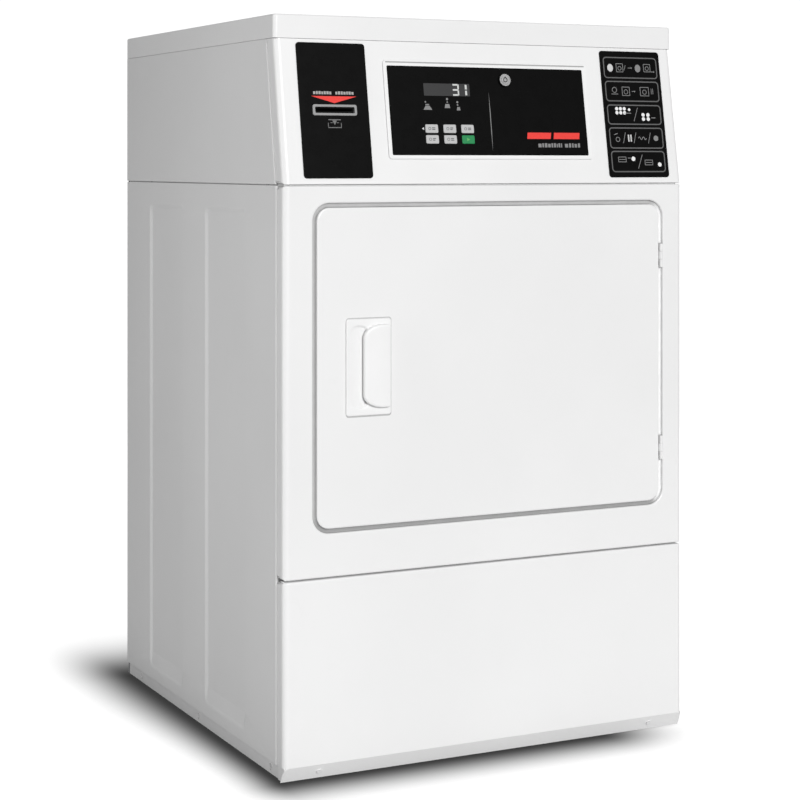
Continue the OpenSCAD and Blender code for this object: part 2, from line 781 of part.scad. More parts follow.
// straight rows joined end to end by half-turn bends
module heating_element() color([0.5, 0.35, 0.28]) from_front() {
  rows = 10;
  pitch = 34;
  half = 150;
  y = 610;
  tube_r = 3.5;
  bottom = drum_z - pitch * (rows - 1) / 2;
  for (i = [0:rows - 1]) translate([face_x - half, y, bottom + pitch * i])
    rotate([0, 90, 0]) cylinder(r = tube_r, h = 2 * half, $fn = 24);
  for (i = [0:rows - 2]) {
    side = i % 2 == 0 ? 1 : -1;
    translate([face_x + side * half, y, bottom + pitch * (i + 0.5)])
      rotate([90, 0, 0]) rotate([0, 0, -side * 90])
      rotate_extrude(angle = 180) translate([pitch / 2, 0]) circle(r = tube_r, $fn = 24);
  }
}

module exhaust_duct() color(steel) from_front() difference() {
  front = blower_y + blower_d + 0.2;
  turned(0, exhaust_z) {
    translate([46, front]) square([3.6, 1.0]);
    translate([duct_r, front]) square([0.8, cab_d - front + 1]);
    translate([duct_r, cab_d]) square([exhaust_r - duct_r, collar_len]);
  }
  rod(0, 100, exhaust_z, duct_r, 45);
}

// ---- feet, fasteners, wiring ----
leg_thread_r = 5;
screw_r = 4.2;

module leg(x, y) color(rubber) from_front() translate([x, y, 0]) {
  cylinder(r = 19, h = 7);
  translate([0, 0, 6.9]) cylinder(r = 9, h = 4.2, $fn = 6);
  translate([0, 0, 11]) cylinder(r = leg_thread_r, h = 40);
}
module leg_front_left() leg(-leg_x, leg_y[0]);
module leg_front_right() leg(leg_x, leg_y[0]);
module leg_rear_left() leg(-leg_x, leg_y[1]);
module leg_rear_right() leg(leg_x, leg_y[1]);

module panel_screws() color(steel) from_front() {
  // slotted heads on the base pan's sides
  for (side = [-1, 1], y = [57, 354, 629])
    translate([side * (cab_w / 2 - 3.25), y, 13]) rotate([0, side * 90, 0]) difference() {
      cylinder(r = screw_r, h = 1.9, $fn = 32);
      translate([-3, -0.5, 1.2]) cube([6, 1, 2]);
    }
  // on the sloping kick strip
  for (side = [-1, 1]) translate([side * 283, 6.2, 12.55]) rotate([90 + 28.9, 0, 0])
    translate([0, 0, 0.05]) cylinder(r = screw_r, h = 1.6, $fn = 32);
  // on the rear panel
  for (side = [-1, 1], z = [60, 300, 560, 820, 1050])
    rod(side * (cab_w / 2 - 12), cab_d + 0.02, z, screw_r, 1.8);
}

// from the console back along the left side, down, forward and across to the motor
module wiring_harness() color([0.16, 0.16, 0.17]) from_front() {
  wire_r = 5;
  console_end = [-325, 110, 960];
  rear_top = [-325, 600, 960];
  rear_low = [-325, 600, 45];
  front_low = [-325, 300, 45];
  under_motor = [57, 300, 45];
  to_right = [0, 90, 0];
  to_rear = [-90, 0, 0];
  upward = [0, 0, 0];
  for (corner = [console_end, rear_top, rear_low, front_low, under_motor])
    translate(corner) sphere(wire_r);
  // [start, rotation, length]
  for (wire = [
    [console_end, to_right, 245],
    [console_end, to_rear, rear_top[1] - console_end[1]],
    [rear_low, upward, rear_top[2] - rear_low[2]],
    [front_low, to_rear, rear_low[1] - front_low[1]],
    [front_low, to_right, under_motor[0] - front_low[0]],
    [under_motor, upward, 75]])
    translate(wire[0]) rotate(wire[1]) cylinder(r = wire_r, h = wire[2]);
}

base_pan();
side_panel_left();
side_panel_right();
hood_side_left();
hood_side_right();
top_cover();
rear_panel();
front_panel();
lower_panel();
control_panel();
card_reader_plate();
card_reader();
console_bezel();
display_overlay();
control_board();
lock_housing();
lock_core();
instruction_plate();
key_1();
key_2();
key_3();
key_4();
key_5();
key_start();
door_outer();
door_liner();
door_seal();
door_handle();
hinge_straps();
hinge_brackets();
hinge_pins();
door_catch();
switch_plunger();
front_bulkhead();
front_felt_seal();
drum();
drum_baffles();
rear_bulkhead();
roller_left();
roller_right();
drum_belt();
motor();
motor_shaft();
motor_bracket();
idler_arm();
idler_pulley();
idler_spring();
blower_housing();
blower_impeller();
lint_chute();
lint_filter();
heater_box();
heating_element();
exhaust_duct();
leg_front_left();
leg_front_right();
leg_rear_left();
leg_rear_right();
panel_screws();
wiring_harness();
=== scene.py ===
import json
import math

import bmesh
import bpy
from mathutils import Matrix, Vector

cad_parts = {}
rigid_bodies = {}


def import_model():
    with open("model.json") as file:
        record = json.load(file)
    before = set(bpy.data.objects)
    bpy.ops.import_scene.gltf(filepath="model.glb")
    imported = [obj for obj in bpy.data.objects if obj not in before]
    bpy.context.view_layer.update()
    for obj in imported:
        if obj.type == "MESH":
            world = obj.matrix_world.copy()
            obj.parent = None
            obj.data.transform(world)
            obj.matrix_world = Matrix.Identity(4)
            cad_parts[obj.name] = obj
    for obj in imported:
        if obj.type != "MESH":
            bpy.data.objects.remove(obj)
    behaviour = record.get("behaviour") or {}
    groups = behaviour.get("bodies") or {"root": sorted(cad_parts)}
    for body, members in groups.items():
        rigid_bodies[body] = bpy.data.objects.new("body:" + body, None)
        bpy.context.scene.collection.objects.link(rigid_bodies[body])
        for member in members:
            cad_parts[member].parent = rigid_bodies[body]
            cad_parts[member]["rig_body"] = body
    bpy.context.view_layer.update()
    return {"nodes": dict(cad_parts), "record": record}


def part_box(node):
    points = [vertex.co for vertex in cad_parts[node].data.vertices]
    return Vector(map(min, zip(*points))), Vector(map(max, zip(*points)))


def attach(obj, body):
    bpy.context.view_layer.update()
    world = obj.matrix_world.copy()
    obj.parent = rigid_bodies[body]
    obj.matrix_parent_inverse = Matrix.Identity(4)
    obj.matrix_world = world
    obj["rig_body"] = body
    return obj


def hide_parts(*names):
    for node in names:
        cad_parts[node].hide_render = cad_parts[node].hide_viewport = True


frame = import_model()
N = frame["nodes"]

# ------------------------------------------------------------------ places, all from the frame
Y0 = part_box("lower_panel")[0].y                      # front plane of the cabinet
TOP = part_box("top_cover")
SEAM_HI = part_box("hood_side_left")[0].z - 0.0012     # where the console starts
SLOPE = math.atan2(0.035, (TOP[1].z - 0.0349) - SEAM_HI)
CA, SA = math.cos(SLOPE), math.sin(SLOPE)
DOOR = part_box("door_outer")
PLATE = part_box("door_handle")
FX = (DOOR[0].x + DOOR[1].x) / 2                     # sideways centre of the door


def cab(x, y, z):
    """Cabinet millimetres (y back from the front plane) to row metres."""
    return Vector((x / 1000.0, Y0 + y / 1000.0, z / 1000.0))


def con(x, d, s):
    """Console millimetres: x across, d into the panel, s up the slope."""
    return Vector((x / 1000.0, Y0 + (d * CA + s * SA) / 1000.0, SEAM_HI + (-d * SA + s * CA) / 1000.0))


# ------------------------------------------------------------------ materials
def srgb(v):
    v = v / 255.0
    return v / 12.92 if v <= 0.04045 else ((v + 0.055) / 1.055) ** 2.4


class Mat:
    """A small node-graph builder round one Principled shader."""

    def __init__(self, name):
        self.m = bpy.data.materials.new(name)
        self.m.use_nodes = True
        self.nt = self.m.node_tree
        self.p = self.nt.nodes["Principled BSDF"]
        self.tc = self.nt.nodes.new("ShaderNodeTexCoord")
        self.normal = None

    def link(self, a, b):
        self.nt.links.new(a, b)

    def coord(self, scale=(1, 1, 1), rot=(0, 0, 0)):
        n = self.nt.nodes.new("ShaderNodeMapping")
        n.inputs["Scale"].default_value = scale
        n.inputs["Rotation"].default_value = rot
        self.link(self.tc.outputs["Object"], n.inputs["Vector"])
        return n.outputs["Vector"]

    def noise(self, scale, detail=4.0, rough=0.55, vec=None, distort=0.0):
        n = self.nt.nodes.new("ShaderNodeTexNoise")
        n.inputs["Scale"].default_value = scale
        n.inputs["Detail"].default_value = detail
        n.inputs["Roughness"].default_value = rough
        n.inputs["Distortion"].default_value = distort
        self.link(vec if vec is not None else self.tc.outputs["Object"], n.inputs["Vector"])
        return n.outputs["Fac"]

    def voronoi(self, scale, feature="F1", vec=None, rand=1.0, out="Distance"):
        n = self.nt.nodes.new("ShaderNodeTexVoronoi")
        n.feature = feature
        n.inputs["Scale"].default_value = scale
        n.inputs["Randomness"].default_value = rand
        self.link(vec if vec is not None else self.tc.outputs["Object"], n.inputs["Vector"])
        return n.outputs[out]

    def wave(self, scale, axis="X", kind="BANDS", distort=0.0, vec=None, profile="SIN"):
        n = self.nt.nodes.new("ShaderNodeTexWave")
        n.wave_type = kind
        n.bands_direction = axis
        n.wave_profile = profile
        n.inputs["Scale"].default_value = scale
        n.inputs["Distortion"].default_value = distort
        self.link(vec if vec is not None else self.tc.outputs["Object"], n.inputs["Vector"])
        return n.outputs["Fac"]

    def math(self, op, a, b=None, c=None, clamp=False):
        n = self.nt.nodes.new("ShaderNodeMath")
        n.operation = op
        n.use_clamp = clamp
        for i, v in enumerate((a, b, c)):
            if v is None:
                continue
            if isinstance(v, (int, float)):
                n.inputs[i].default_value = v
            else:
                self.link(v, n.inputs[i])
        return n.outputs[0]

    def ramp(self, fac, lo, hi, out_lo=0.0, out_hi=1.0, smooth=True):
        n = self.nt.nodes.new("ShaderNodeMapRange")
        n.interpolation_type = "SMOOTHSTEP" if smooth else "LINEAR"
        n.inputs["From Min"].default_value = lo
        n.inputs["From Max"].default_value = hi
        n.inputs["To Min"].default_value = out_lo
        n.inputs["To Max"].default_value = out_hi
        self.link(fac, n.inputs["Value"])
        return n.outputs["Result"]

    def mix(self, fac, a, b, blend="MIX"):
        n = self.nt.nodes.new("ShaderNodeMix")
        n.data_type = "RGBA"
        n.blend_type = blend
        n.inputs[0].default_value = fac if isinstance(fac, (int, float)) else 0.5
        if not isinstance(fac, (int, float)):
            self.link(fac, n.inputs[0])
        for i, v in ((6, a), (7, b)):
            if isinstance(v, (tuple, list)):
                n.inputs[i].default_value = (*v[:3], 1.0)
            else:
                self.link(v, n.inputs[i])
        return n.outputs[2]

    def bump(self, height, distance, strength=1.0):
        n = self.nt.nodes.new("ShaderNodeBump")
        n.inputs["Strength"].default_value = strength
        n.inputs["Distance"].default_value = distance
        self.link(height, n.inputs["Height"])
        if self.normal is not None:
            self.link(self.normal, n.inputs["Normal"])
        self.normal = n.outputs["Normal"]
        self.link(self.normal, self.p.inputs["Normal"])

    def base(self, v):
        if isinstance(v, (tuple, list)):
            self.p.inputs["Base Color"].default_value = (*v[:3], 1.0)
        else:
            self.link(v, self.p.inputs["Base Color"])

    def set(self, key, v):
        if isinstance(v, (int, float, tuple)):
            self.p.inputs[key].default_value = v
        else:
            self.link(v, self.p.inputs[key])

    def sep(self, out="Object"):
        n = self.nt.nodes.new("ShaderNodeSeparateXYZ")
        self.link(self.tc.outputs[out], n.inputs[0])
        return n.outputs


def g(v, tint=(1, 1, 1)):
    return (v * tint[0], v * tint[1], v * tint[2])


def enamel(name, tone, rough=0.34, peel=0.000022, coat=0.12, tint=(1, 1, 1), drift=0.012):
    """Baked enamel on sheet steel: orange peel, slow colour drift, faint handling marks."""
    m = Mat(name)
    slow = m.noise(2.6, 3, 0.5)
    mid = m.noise(34, 4, 0.6)
    col = m.mix(m.ramp(slow, 0.35, 0.65), g(tone * (1 - drift), tint), g(tone * (1 + drift), tint))
    col = m.mix(m.ramp(mid, 0.60, 0.78, 0.0, 0.35), col, g(tone * 0.975, tint))
    m.base(col)
    m.set("Roughness", m.ramp(m.noise(9, 5, 0.6), 0.3, 0.7, rough - 0.04, rough + 0.05))
    m.bump(m.noise(420, 2, 0.5), peel)
    m.bump(m.noise(5.5, 2, 0.5), 0.00035)
    m.set("Coat Weight", coat)
    m.set("Coat Roughness", 0.16)
    m.set("Specular IOR Level", 0.42)
    return m.m


def plastic(name, tone, rough=0.42, grain=0.00003, tint=(1, 1, 1), spec=0.45, drift=0.03, gloss=1.0):
    """Moulded plastic: fine spark-eroded grain and a little mottling."""
    m = Mat(name)
    a = m.noise(14, 4, 0.6)
    m.base(m.mix(m.ramp(a, 0.3, 0.7), g(tone * (1 - drift), tint), g(tone * (1 + drift), tint)))
    m.set("Roughness", m.ramp(m.noise(60, 4, 0.6), 0.3, 0.7, rough - 0.05 * gloss, rough + 0.06 * gloss))
    m.bump(m.noise(1500, 3, 0.6), grain)
    m.set("Specular IOR Level", spec)
    return m.m


def metal(name, tone, rough=0.3, brush=(1, 1, 60), tint=(1, 1, 1), var=0.06, bump=0.00002, scale=40):
    """Rolled or brushed metal: streaks along one axis, stains in the colour."""
    m = Mat(name)
    v = m.coord(brush)
    streak = m.noise(scale, 6, 0.65, v)
    stain = m.noise(7, 4, 0.6)
    col = m.mix(m.ramp(streak, 0.3, 0.7), g(tone * (1 - var), tint), g(min(1, tone * (1 + var)), tint))
    m.base(m.mix(m.ramp(stain, 0.5, 0.8, 0, 0.25), col, g(tone * 0.85, tint)))
    m.set("Metallic", 1.0)
    m.set("Roughness", m.ramp(streak, 0.25, 0.75, rough - 0.07, rough + 0.09))
    m.bump(streak, bump)
    return m.m


def galvanised(name, tone=0.55):
    """Hot-dip zinc: crystal spangle in tone and roughness."""
    m = Mat(name)
    cell = m.voronoi(55, out="Color")
    s = m.nt.nodes.new("ShaderNodeSeparateColor")
    m.link(cell, s.inputs[0])
    v = s.outputs[0]
    col = m.mix(v, g(tone * 0.86, (0.97, 0.99, 1.0)), g(tone * 1.10, (0.98, 1.0, 1.02)))
    m.base(m.mix(m.ramp(m.noise(6, 4, 0.6), 0.52, 0.75, 0, 0.3), col, g(tone * 0.78)))
    m.set("Metallic", 0.85)
    m.set("Roughness", m.ramp(v, 0, 1, 0.36, 0.52, smooth=False))
    m.bump(m.voronoi(55, "DISTANCE_TO_EDGE"), 0.00003)
    return m.m


def rubber(name, tone=0.02, rough=0.72):
    m = Mat(name)
    m.base(m.mix(m.ramp(m.noise(30, 5, 0.65), 0.35, 0.75), g(tone), g(tone * 1.9)))
    m.set("Roughness", m.ramp(m.noise(120, 4, 0.6), 0.3, 0.7, rough - 0.08, rough + 0.1))
    m.bump(m.noise(900, 4, 0.7), 0.00006)
    m.set("Specular IOR Level", 0.3)
    return m.m


def felted(name, tone=0.30):
    m = Mat(name)
    f = m.noise(700, 8, 0.75, m.coord((1, 1, 1)), 0.8)
    m.base(m.mix(m.ramp(f, 0.3, 0.7), g(tone * 0.65, (1.0, 0.93, 0.80)), g(tone * 1.25, (1.0, 0.95, 0.86))))
    m.set("Roughness", 0.95)
    m.bump(f, 0.0005)
    m.bump(m.noise(60, 4, 0.6), 0.0006)
    m.set("Sheen Weight", 0.5)
    m.set("Specular IOR Level", 0.1)
    return m.m


WHITE_T = (1.0, 1.0, 1.0)
M = {}
M["white_paint"] = enamel("white_enamel", 0.835, tint=WHITE_T)
# a slightly darker, rougher copy of the same white enamel for the side sheets, hood sides, base and screws: a little
# painted shade
M["white_side"] = enamel("white_enamel_shaded_side", 0.80, rough=0.40, tint=WHITE_T, drift=0.015)
M["white_liner"] = enamel("liner_enamel", 0.80, rough=0.28, peel=0.000018, coat=0.25)
M["white_plastic"] = plastic("handle_plastic", 0.86, rough=0.36, grain=0.000012, spec=0.4, drift=0.008)
M["bezel_white"] = plastic("bezel_plastic", 0.855, rough=0.34, grain=0.000012, spec=0.4, drift=0.008)
M["black_plate"] = plastic("black_overlay_film", 0.0033, rough=0.28, grain=0.000003, spec=0.065, drift=0.03, gloss=0.3)
M["reader_grey"] = plastic("reader_plastic", 0.30, rough=0.42, spec=0.35)
M["key_light"] = plastic("key_plastic", 0.50, rough=0.45, grain=0.00001, spec=0.35, drift=0.015)
M["key_green"] = plastic("start_key_plastic", 1.0, rough=0.42, grain=0.00001, tint=(0.006, 0.245, 0.072), spec=0.35, drift=0.06)
M["lock_chrome"] = metal("lock_nickel", 0.36, rough=0.36, brush=(1, 1, 1), scale=500, var=0.05)
M["galvanised"] = galvanised("galvanised_sheet")
M["drum_steel"] = metal("drum_stainless", 0.50, rough=0.33, brush=(6, 1, 6), scale=18, var=0.05)
M["bright_steel"] = metal("bright_zinc_steel", 0.66, rough=0.26, brush=(1, 1, 1), scale=300, var=0.05)
M["motor_grey"] = plastic("motor_enamel", 0.11, rough=0.45, grain=0.0001, tint=(0.93, 1.0, 1.06), drift=0.12)
M["black_rubber"] = rubber("black_rubber")
M["felt"] = felted("wool_felt")
M["nylon"] = plastic("nylon_glassfilled", 0.055, rough=0.55, grain=0.00006, drift=0.15)
M["plunger_red"] = plastic("plunger_red", 1.0, rough=0.4, tint=(0.62, 0.03, 0.03), drift=0.05)


def trim_grey(base=0.47, name="door_gap_shade"):
    """Pale grey trim behind the door's edge: its grey is painted shade of the door gap, lightened to the right as
    painted light and greyer below as painted shade.
    """
    m = Mat(name)
    x, y, z = m.sep()
    # painted light: the gap is lightened towards the right-hand side
    right = m.ramp(x, 0.286, 0.303)
    # painted shade: the gap is greyed along the bottom
    low = m.math("MULTIPLY", m.ramp(z, 0.366, 0.380, 1.0, 0.0), m.math("SUBTRACT", 1.0, right))
    tone = m.math("SUBTRACT", m.math("ADD", base, m.math("MULTIPLY", right, 0.43)), m.math("MULTIPLY", low, 0.14))
    tone = m.math("MULTIPLY", tone, m.ramp(m.noise(60, 4), 0.3, 0.7, 0.96, 1.04))
    c = m.nt.nodes.new("ShaderNodeCombineColor")
    for k in range(3):
        m.link(tone, c.inputs[k])
    m.base(c.outputs[0])
    m.set("Roughness", 0.6)
    m.bump(m.noise(900, 3), 0.00001)
    return m.m


def board_green():
    m = Mat("circuit_board")
    v = m.coord((1, 1, 1))
    tr = m.voronoi(260, "DISTANCE_TO_EDGE", v, 0.35)
    m.base(m.mix(m.ramp(tr, 0.02, 0.09), (0.10, 0.32, 0.12), (0.02, 0.13, 0.05)))
    m.set("Roughness", 0.35)
    m.bump(tr, 0.0001)
    return m.m


def element_brown():
    m = Mat("heater_sheath")
    f = m.noise(120, 5, 0.7)
    m.base(m.mix(m.ramp(f, 0.35, 0.7), (0.075, 0.052, 0.042), (0.20, 0.13, 0.10)))
    m.set("Metallic", 0.6)
    m.set("Roughness", m.ramp(f, 0.3, 0.7, 0.5, 0.75))
    m.bump(f, 0.0001)
    return m.m


def filter_mesh():
    m = Mat("filter_frame")
    m.base(m.mix(m.ramp(m.noise(40, 4), 0.3, 0.7), (0.40, 0.42, 0.44), (0.50, 0.52, 0.54)))
    m.set("Roughness", 0.45)
    m.bump(m.noise(800, 3), 0.00004)
    return m.m


# grey for the door gap: painted shade
M["trim_grey"] = trim_grey()
# the same grey, even, for thin strips that stand for shadow lines at edges and seams: painted shade
M["seal_grey"] = trim_grey(0.50, "handle_seal_grey")
M["board_green"] = board_green()
M["element_brown"] = element_brown()
M["filter_mesh"] = filter_mesh()


def printed(name, col, rough=0.5):
    """Screen-printed ink, and one painted groove shadow made the same way: slightly uneven film."""
    m = Mat(name)
    f = m.noise(900, 3, 0.6)
    m.base(m.mix(m.ramp(f, 0.25, 0.75), tuple(c * 0.86 for c in col), tuple(min(1, c * 1.06) for c in col)))
    m.set("Roughness", m.ramp(m.noise(200, 3), 0.3, 0.7, rough - 0.05, rough + 0.08))
    m.bump(f, 0.000008)
    m.set("Specular IOR Level", 0.3)
    return m.m


M["ink_white"] = printed("ink_white", (0.62, 0.62, 0.62))
# not an ink: a grey film used as a painted shadow of a groove along the bezel's top
M["painted_groove_shadow"] = printed("painted_groove_shadow", (0.40, 0.40, 0.40))
M["ink_caption"] = printed("ink_caption", (0.40, 0.39, 0.38))
M["ink_bright"] = printed("ink_bright", (0.85, 0.85, 0.85))
M["ink_grey"] = printed("ink_grey", (0.235, 0.235, 0.235))
M["ink_icon"] = printed("ink_icon", (0.17, 0.17, 0.17))
M["ink_dim"] = printed("ink_dim", (0.12, 0.12, 0.12))
M["ink_red"] = printed("ink_red", (0.86, 0.045, 0.035))
M["ink_dark"] = printed("ink_dark", (0.10, 0.105, 0.11))
M["ink_keygreen"] = printed("ink_keygreen", (0.12, 0.45, 0.13))


def window_mat():
    m = Mat("display_window")
    f = m.noise(1200, 2)
    m.base(m.mix(m.ramp(f, 0.3, 0.7), (0.017, 0.017, 0.018), (0.022, 0.022, 0.023)))
    m.set("Roughness", 0.32)
    return m.m


def digit_mat():
    m = Mat("display_digit")
    f = m.noise(700, 2)
    m.base(m.mix(m.ramp(f, 0.3, 0.7), (0.44, 0.45, 0.44), (0.54, 0.55, 0.54)))
    m.set("Emission Color", (0.80, 0.82, 0.80, 1.0))
    m.set("Emission Strength", 0.14)
    m.set("Roughness", 0.4)
    return m.m


M["window"] = window_mat()
M["digit"] = digit_mat()

SLOTS = {n.get("name"): n.get("material") for n in frame["record"].get("nodes", []) if isinstance(n, dict)}
SUB = {s["node"]: s for s in frame["record"]["subparts"]}
# white_side is the darker copy of the white enamel: painted shade on those parts
PAINT = {"hinge_brackets": "white_paint", "hinge_straps": "white_paint", "base_pan": "white_side", "side_panel_left": "white_side", "side_panel_right": "white_side",
         "hood_side_left": "white_side", "hood_side_right": "white_side", "console_bezel": "bezel_white", "panel_screws": "white_side"}


def finish_of(node):
    key = PAINT.get(node) or SUB[node].get("material_slot") or "white_paint"
    return M.get(key, M["white_paint"])


def paint(obj, mat):
    obj.data.materials.clear()
    obj.data.materials.append(mat)


# ------------------------------------------------------------------ mesh tools
def new_obj(name, bm, mat, smooth=None, weighted=True):
    me = bpy.data.meshes.new(name)
    bmesh.ops.recalc_face_normals(bm, faces=bm.faces)
    bm.to_mesh(me)
    bm.free()
    o = bpy.data.objects.new(name, me)
    bpy.context.scene.collection.objects.link(o)
    me.materials.append(mat)
    if smooth is not None:
        me.shade_smooth()
        me.set_sharp_from_angle(angle=math.radians(smooth))
        for p in me.polygons:
            if p.area > 0.004:
                p.use_smooth = False
        if weighted:
            w = o.modifiers.new("normals", "WEIGHTED_NORMAL")
            w.keep_sharp = True
            w.weight = 100
    return o


def rework(node, passes, name, mat=None, smooth=35, clean=0.6):
    """A finished copy of a CAD shape: merged, cleaned, with its folded or moulded edges rounded."""
    bm = bmesh.new()
    bm.from_mesh(N[node].data)
    bmesh.ops.remove_doubles(bm, verts=bm.verts, dist=2e-6)
    bmesh.ops.dissolve_limit(bm, angle_limit=math.radians(clean), verts=bm.verts, edges=bm.edges)
    for pred, offset, segs in passes:
        es = [e for e in bm.edges if len(e.link_faces) == 2 and e.calc_face_angle(0) > math.radians(28) and pred(e)]
        if es:
            bmesh.ops.bevel(bm, geom=es, offset=offset, offset_type="OFFSET", segments=segs, profile=0.5,
                            affect="EDGES", clamp_overlap=True, miter_outer="ARC")
    bmesh.ops.remove_doubles(bm, verts=bm.verts, dist=1e-6)
    o = new_obj(name, bm, mat or finish_of(node), smooth)
    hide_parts(node)
    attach(o, N[node]["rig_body"])
    return o


def near(a, b, tol=2e-5):
    return abs(a - b) < tol


def on_plane(axis, value, tol=3e-5):
    return lambda e: all(near(v.co[axis], value, tol) for v in e.verts)


def con_depth(co):
    """Depth into the console, in metres (negative is proud of it)."""
    return (co.y - Y0) * CA - (co.z - SEAM_HI) * SA


def on_depth(mm, tol=4e-5):
    return lambda e: all(abs(con_depth(v.co) - mm / 1000.0) < tol for v in e.verts)


def rr_pts(x0, x1, z0, z1, r, n=6):
    """Rounded rectangle, anticlockwise; r is one radius or four (bl, br, tr, tl)."""
    rs = (r,) * 4 if isinstance(r, (int, float)) else r
    out = []
    for (cx, cz, a0, q) in ((x0, z0, 180, rs[0]), (x1, z0, 270, rs[1]), (x1, z1, 0, rs[2]), (x0, z1, 90, rs[3])):
        q = max(q, 0.01)
        ox = cx + q if a0 in (180, 90) else cx - q
        oz = cz + q if a0 in (180, 270) else cz - q
        for k in range(n + 1):
            a = math.radians(a0 + 90 * k / n)
            out.append((ox + q * math.cos(a), oz + q * math.sin(a)))
    return out


def loft(name, loops, mat, smooth=35, caps=(True, True)):
    """Skin through loops of equal point count; each loop is a list of Vectors."""
    bm = bmesh.new()
    rows = [[bm.verts.new(p) for p in lp] for lp in loops]
    n = len(rows[0])
    for a, b in zip(rows, rows[1:]):
        for i in range(n):
            j = (i + 1) % n
            bm.faces.new((a[i], a[j], b[j], b[i]))
    if caps[0]:
        bm.faces.new(list(reversed(rows[0])))
    if caps[1]:
        bm.faces.new(rows[-1])
    return new_obj(name, bm, mat, smooth)


# ------------------------------------------------------------------ flat printed shapes on the console
def rect(x0, s0, x1, s1):
    return [(x0, s0), (x1, s0), (x1, s1), (x0, s1)]


def circ(cx, cs, r, n=28, ry=None):
    ry = r if ry is None else ry
    return [(cx + r * math.cos(2 * math.pi * k / n), cs + ry * math.sin(2 * math.pi * k / n)) for k in range(n)]


def seg(x0, s0, x1, s1, w):
    dx, ds = x1 - x0, s1 - s0
    q = w / 2 / math.hypot(dx, ds)
    ox, os_ = -ds * q, dx * q
    return [(x0 - ox, s0 - os_), (x1 - ox, s1 - os_), (x1 + ox, s1 + os_), (x0 + ox, s0 + os_)]


def path(pts, w):
    return [(seg(*a, *b, w), None) for a, b in zip(pts, pts[1:])]


def frame_ring(x0, s0, x1, s1, r, w):
    return (rr_pts(x0, x1, s0, s1, r), rr_pts(x0 + w, x1 - w, s0 + w, s1 - w, max(r - w, 0.3)))


def ring(cx, cs, r, w, n=32):
    return (circ(cx, cs, r, n), circ(cx, cs, r - w, n))


def flat(name, shapes, face, mat, body="cabinet", thick=0.12, sink=0.03, place=None):
    """Ink or film shapes standing a hair proud of a face at console depth `face`."""
    place = place or con
    bm = bmesh.new()
    for sh in shapes:
        outer, inner = sh if isinstance(sh, tuple) else (sh, None)
        lo = [bm.verts.new(place(x, face + sink, s)) for x, s in outer]
        hi = [bm.verts.new(place(x, face - thick, s)) for x, s in outer]
        n = len(outer)
        for i in range(n):
            j = (i + 1) % n
            bm.faces.new((lo[i], lo[j], hi[j], hi[i]))
        if inner is None:
            bm.faces.new(hi)
            bm.faces.new(list(reversed(lo)))
        else:
            li = [bm.verts.new(place(x, face + sink, s)) for x, s in inner]
            hi2 = [bm.verts.new(place(x, face - thick, s)) for x, s in inner]
            for i in range(n):
                j = (i + 1) % n
                bm.faces.new((li[j], li[i], hi2[i], hi2[j]))
                bm.faces.new((hi[i], hi[j], hi2[j], hi2[i]))
                bm.faces.new((lo[j], lo[i], li[i], li[j]))
    o = new_obj(name, bm, mat, 30, weighted=False)
    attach(o, body)
    return o


# ------------------------------------------------------------------ every CAD node gets its finish
for node, o in N.items():
    paint(o, finish_of(node))

# ------------------------------------------------------------------ sheet-metal and moulded parts with rounded edges
FRONT = on_plane(1, Y0)
MM = 0.001

rework("door_outer", [(lambda e: FRONT(e) and not all(-0.2425 < v.co.x < -0.2025 and 0.535 < v.co.z < 0.653 for v in e.verts), 2.6 * MM, 5)],
       "door_skin")
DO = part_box("door_outer")
gapm = 0.0064
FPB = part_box("front_panel")
rework("front_panel",
       [(lambda e: FRONT(e) and all(DO[0].x - gapm - 1e-3 < v.co.x < DO[1].x + gapm + 1e-3 and DO[0].z - gapm - 1e-3 < v.co.z < DO[1].z + gapm + 1e-3 for v in e.verts), 2.2 * MM, 4),
        (lambda e: any(all(near(v.co.z, z, 1e-4) and v.co.y < Y0 + 0.0093 for v in e.verts) for z in (FPB[0].z, FPB[1].z)), 2.5 * MM, 5)],
       "front_skin")
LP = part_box("lower_panel")
rework("lower_panel", [(lambda e: all(near(v.co.z, LP[1].z, 1e-4) and v.co.y < Y0 + 0.0093 for v in e.verts), 2.5 * MM, 5)], "lower_skin")
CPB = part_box("control_panel")
rework("control_panel", [(lambda e: all(near(v.co.z, CPB[0].z, 1e-4) and abs(con_depth(v.co)) < 0.0066 for v in e.verts), 1.0 * MM, 3)], "console_skin")

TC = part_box("top_cover")
rework("top_cover", [(lambda e: all(near(v.co.z, TC[1].z, 1e-4) for v in e.verts), 3.2 * MM, 6),
                     (lambda e: all(near(v.co.z, TC[0].z, 1e-4) for v in e.verts), 0.35 * MM, 2)],
       "top_skin")



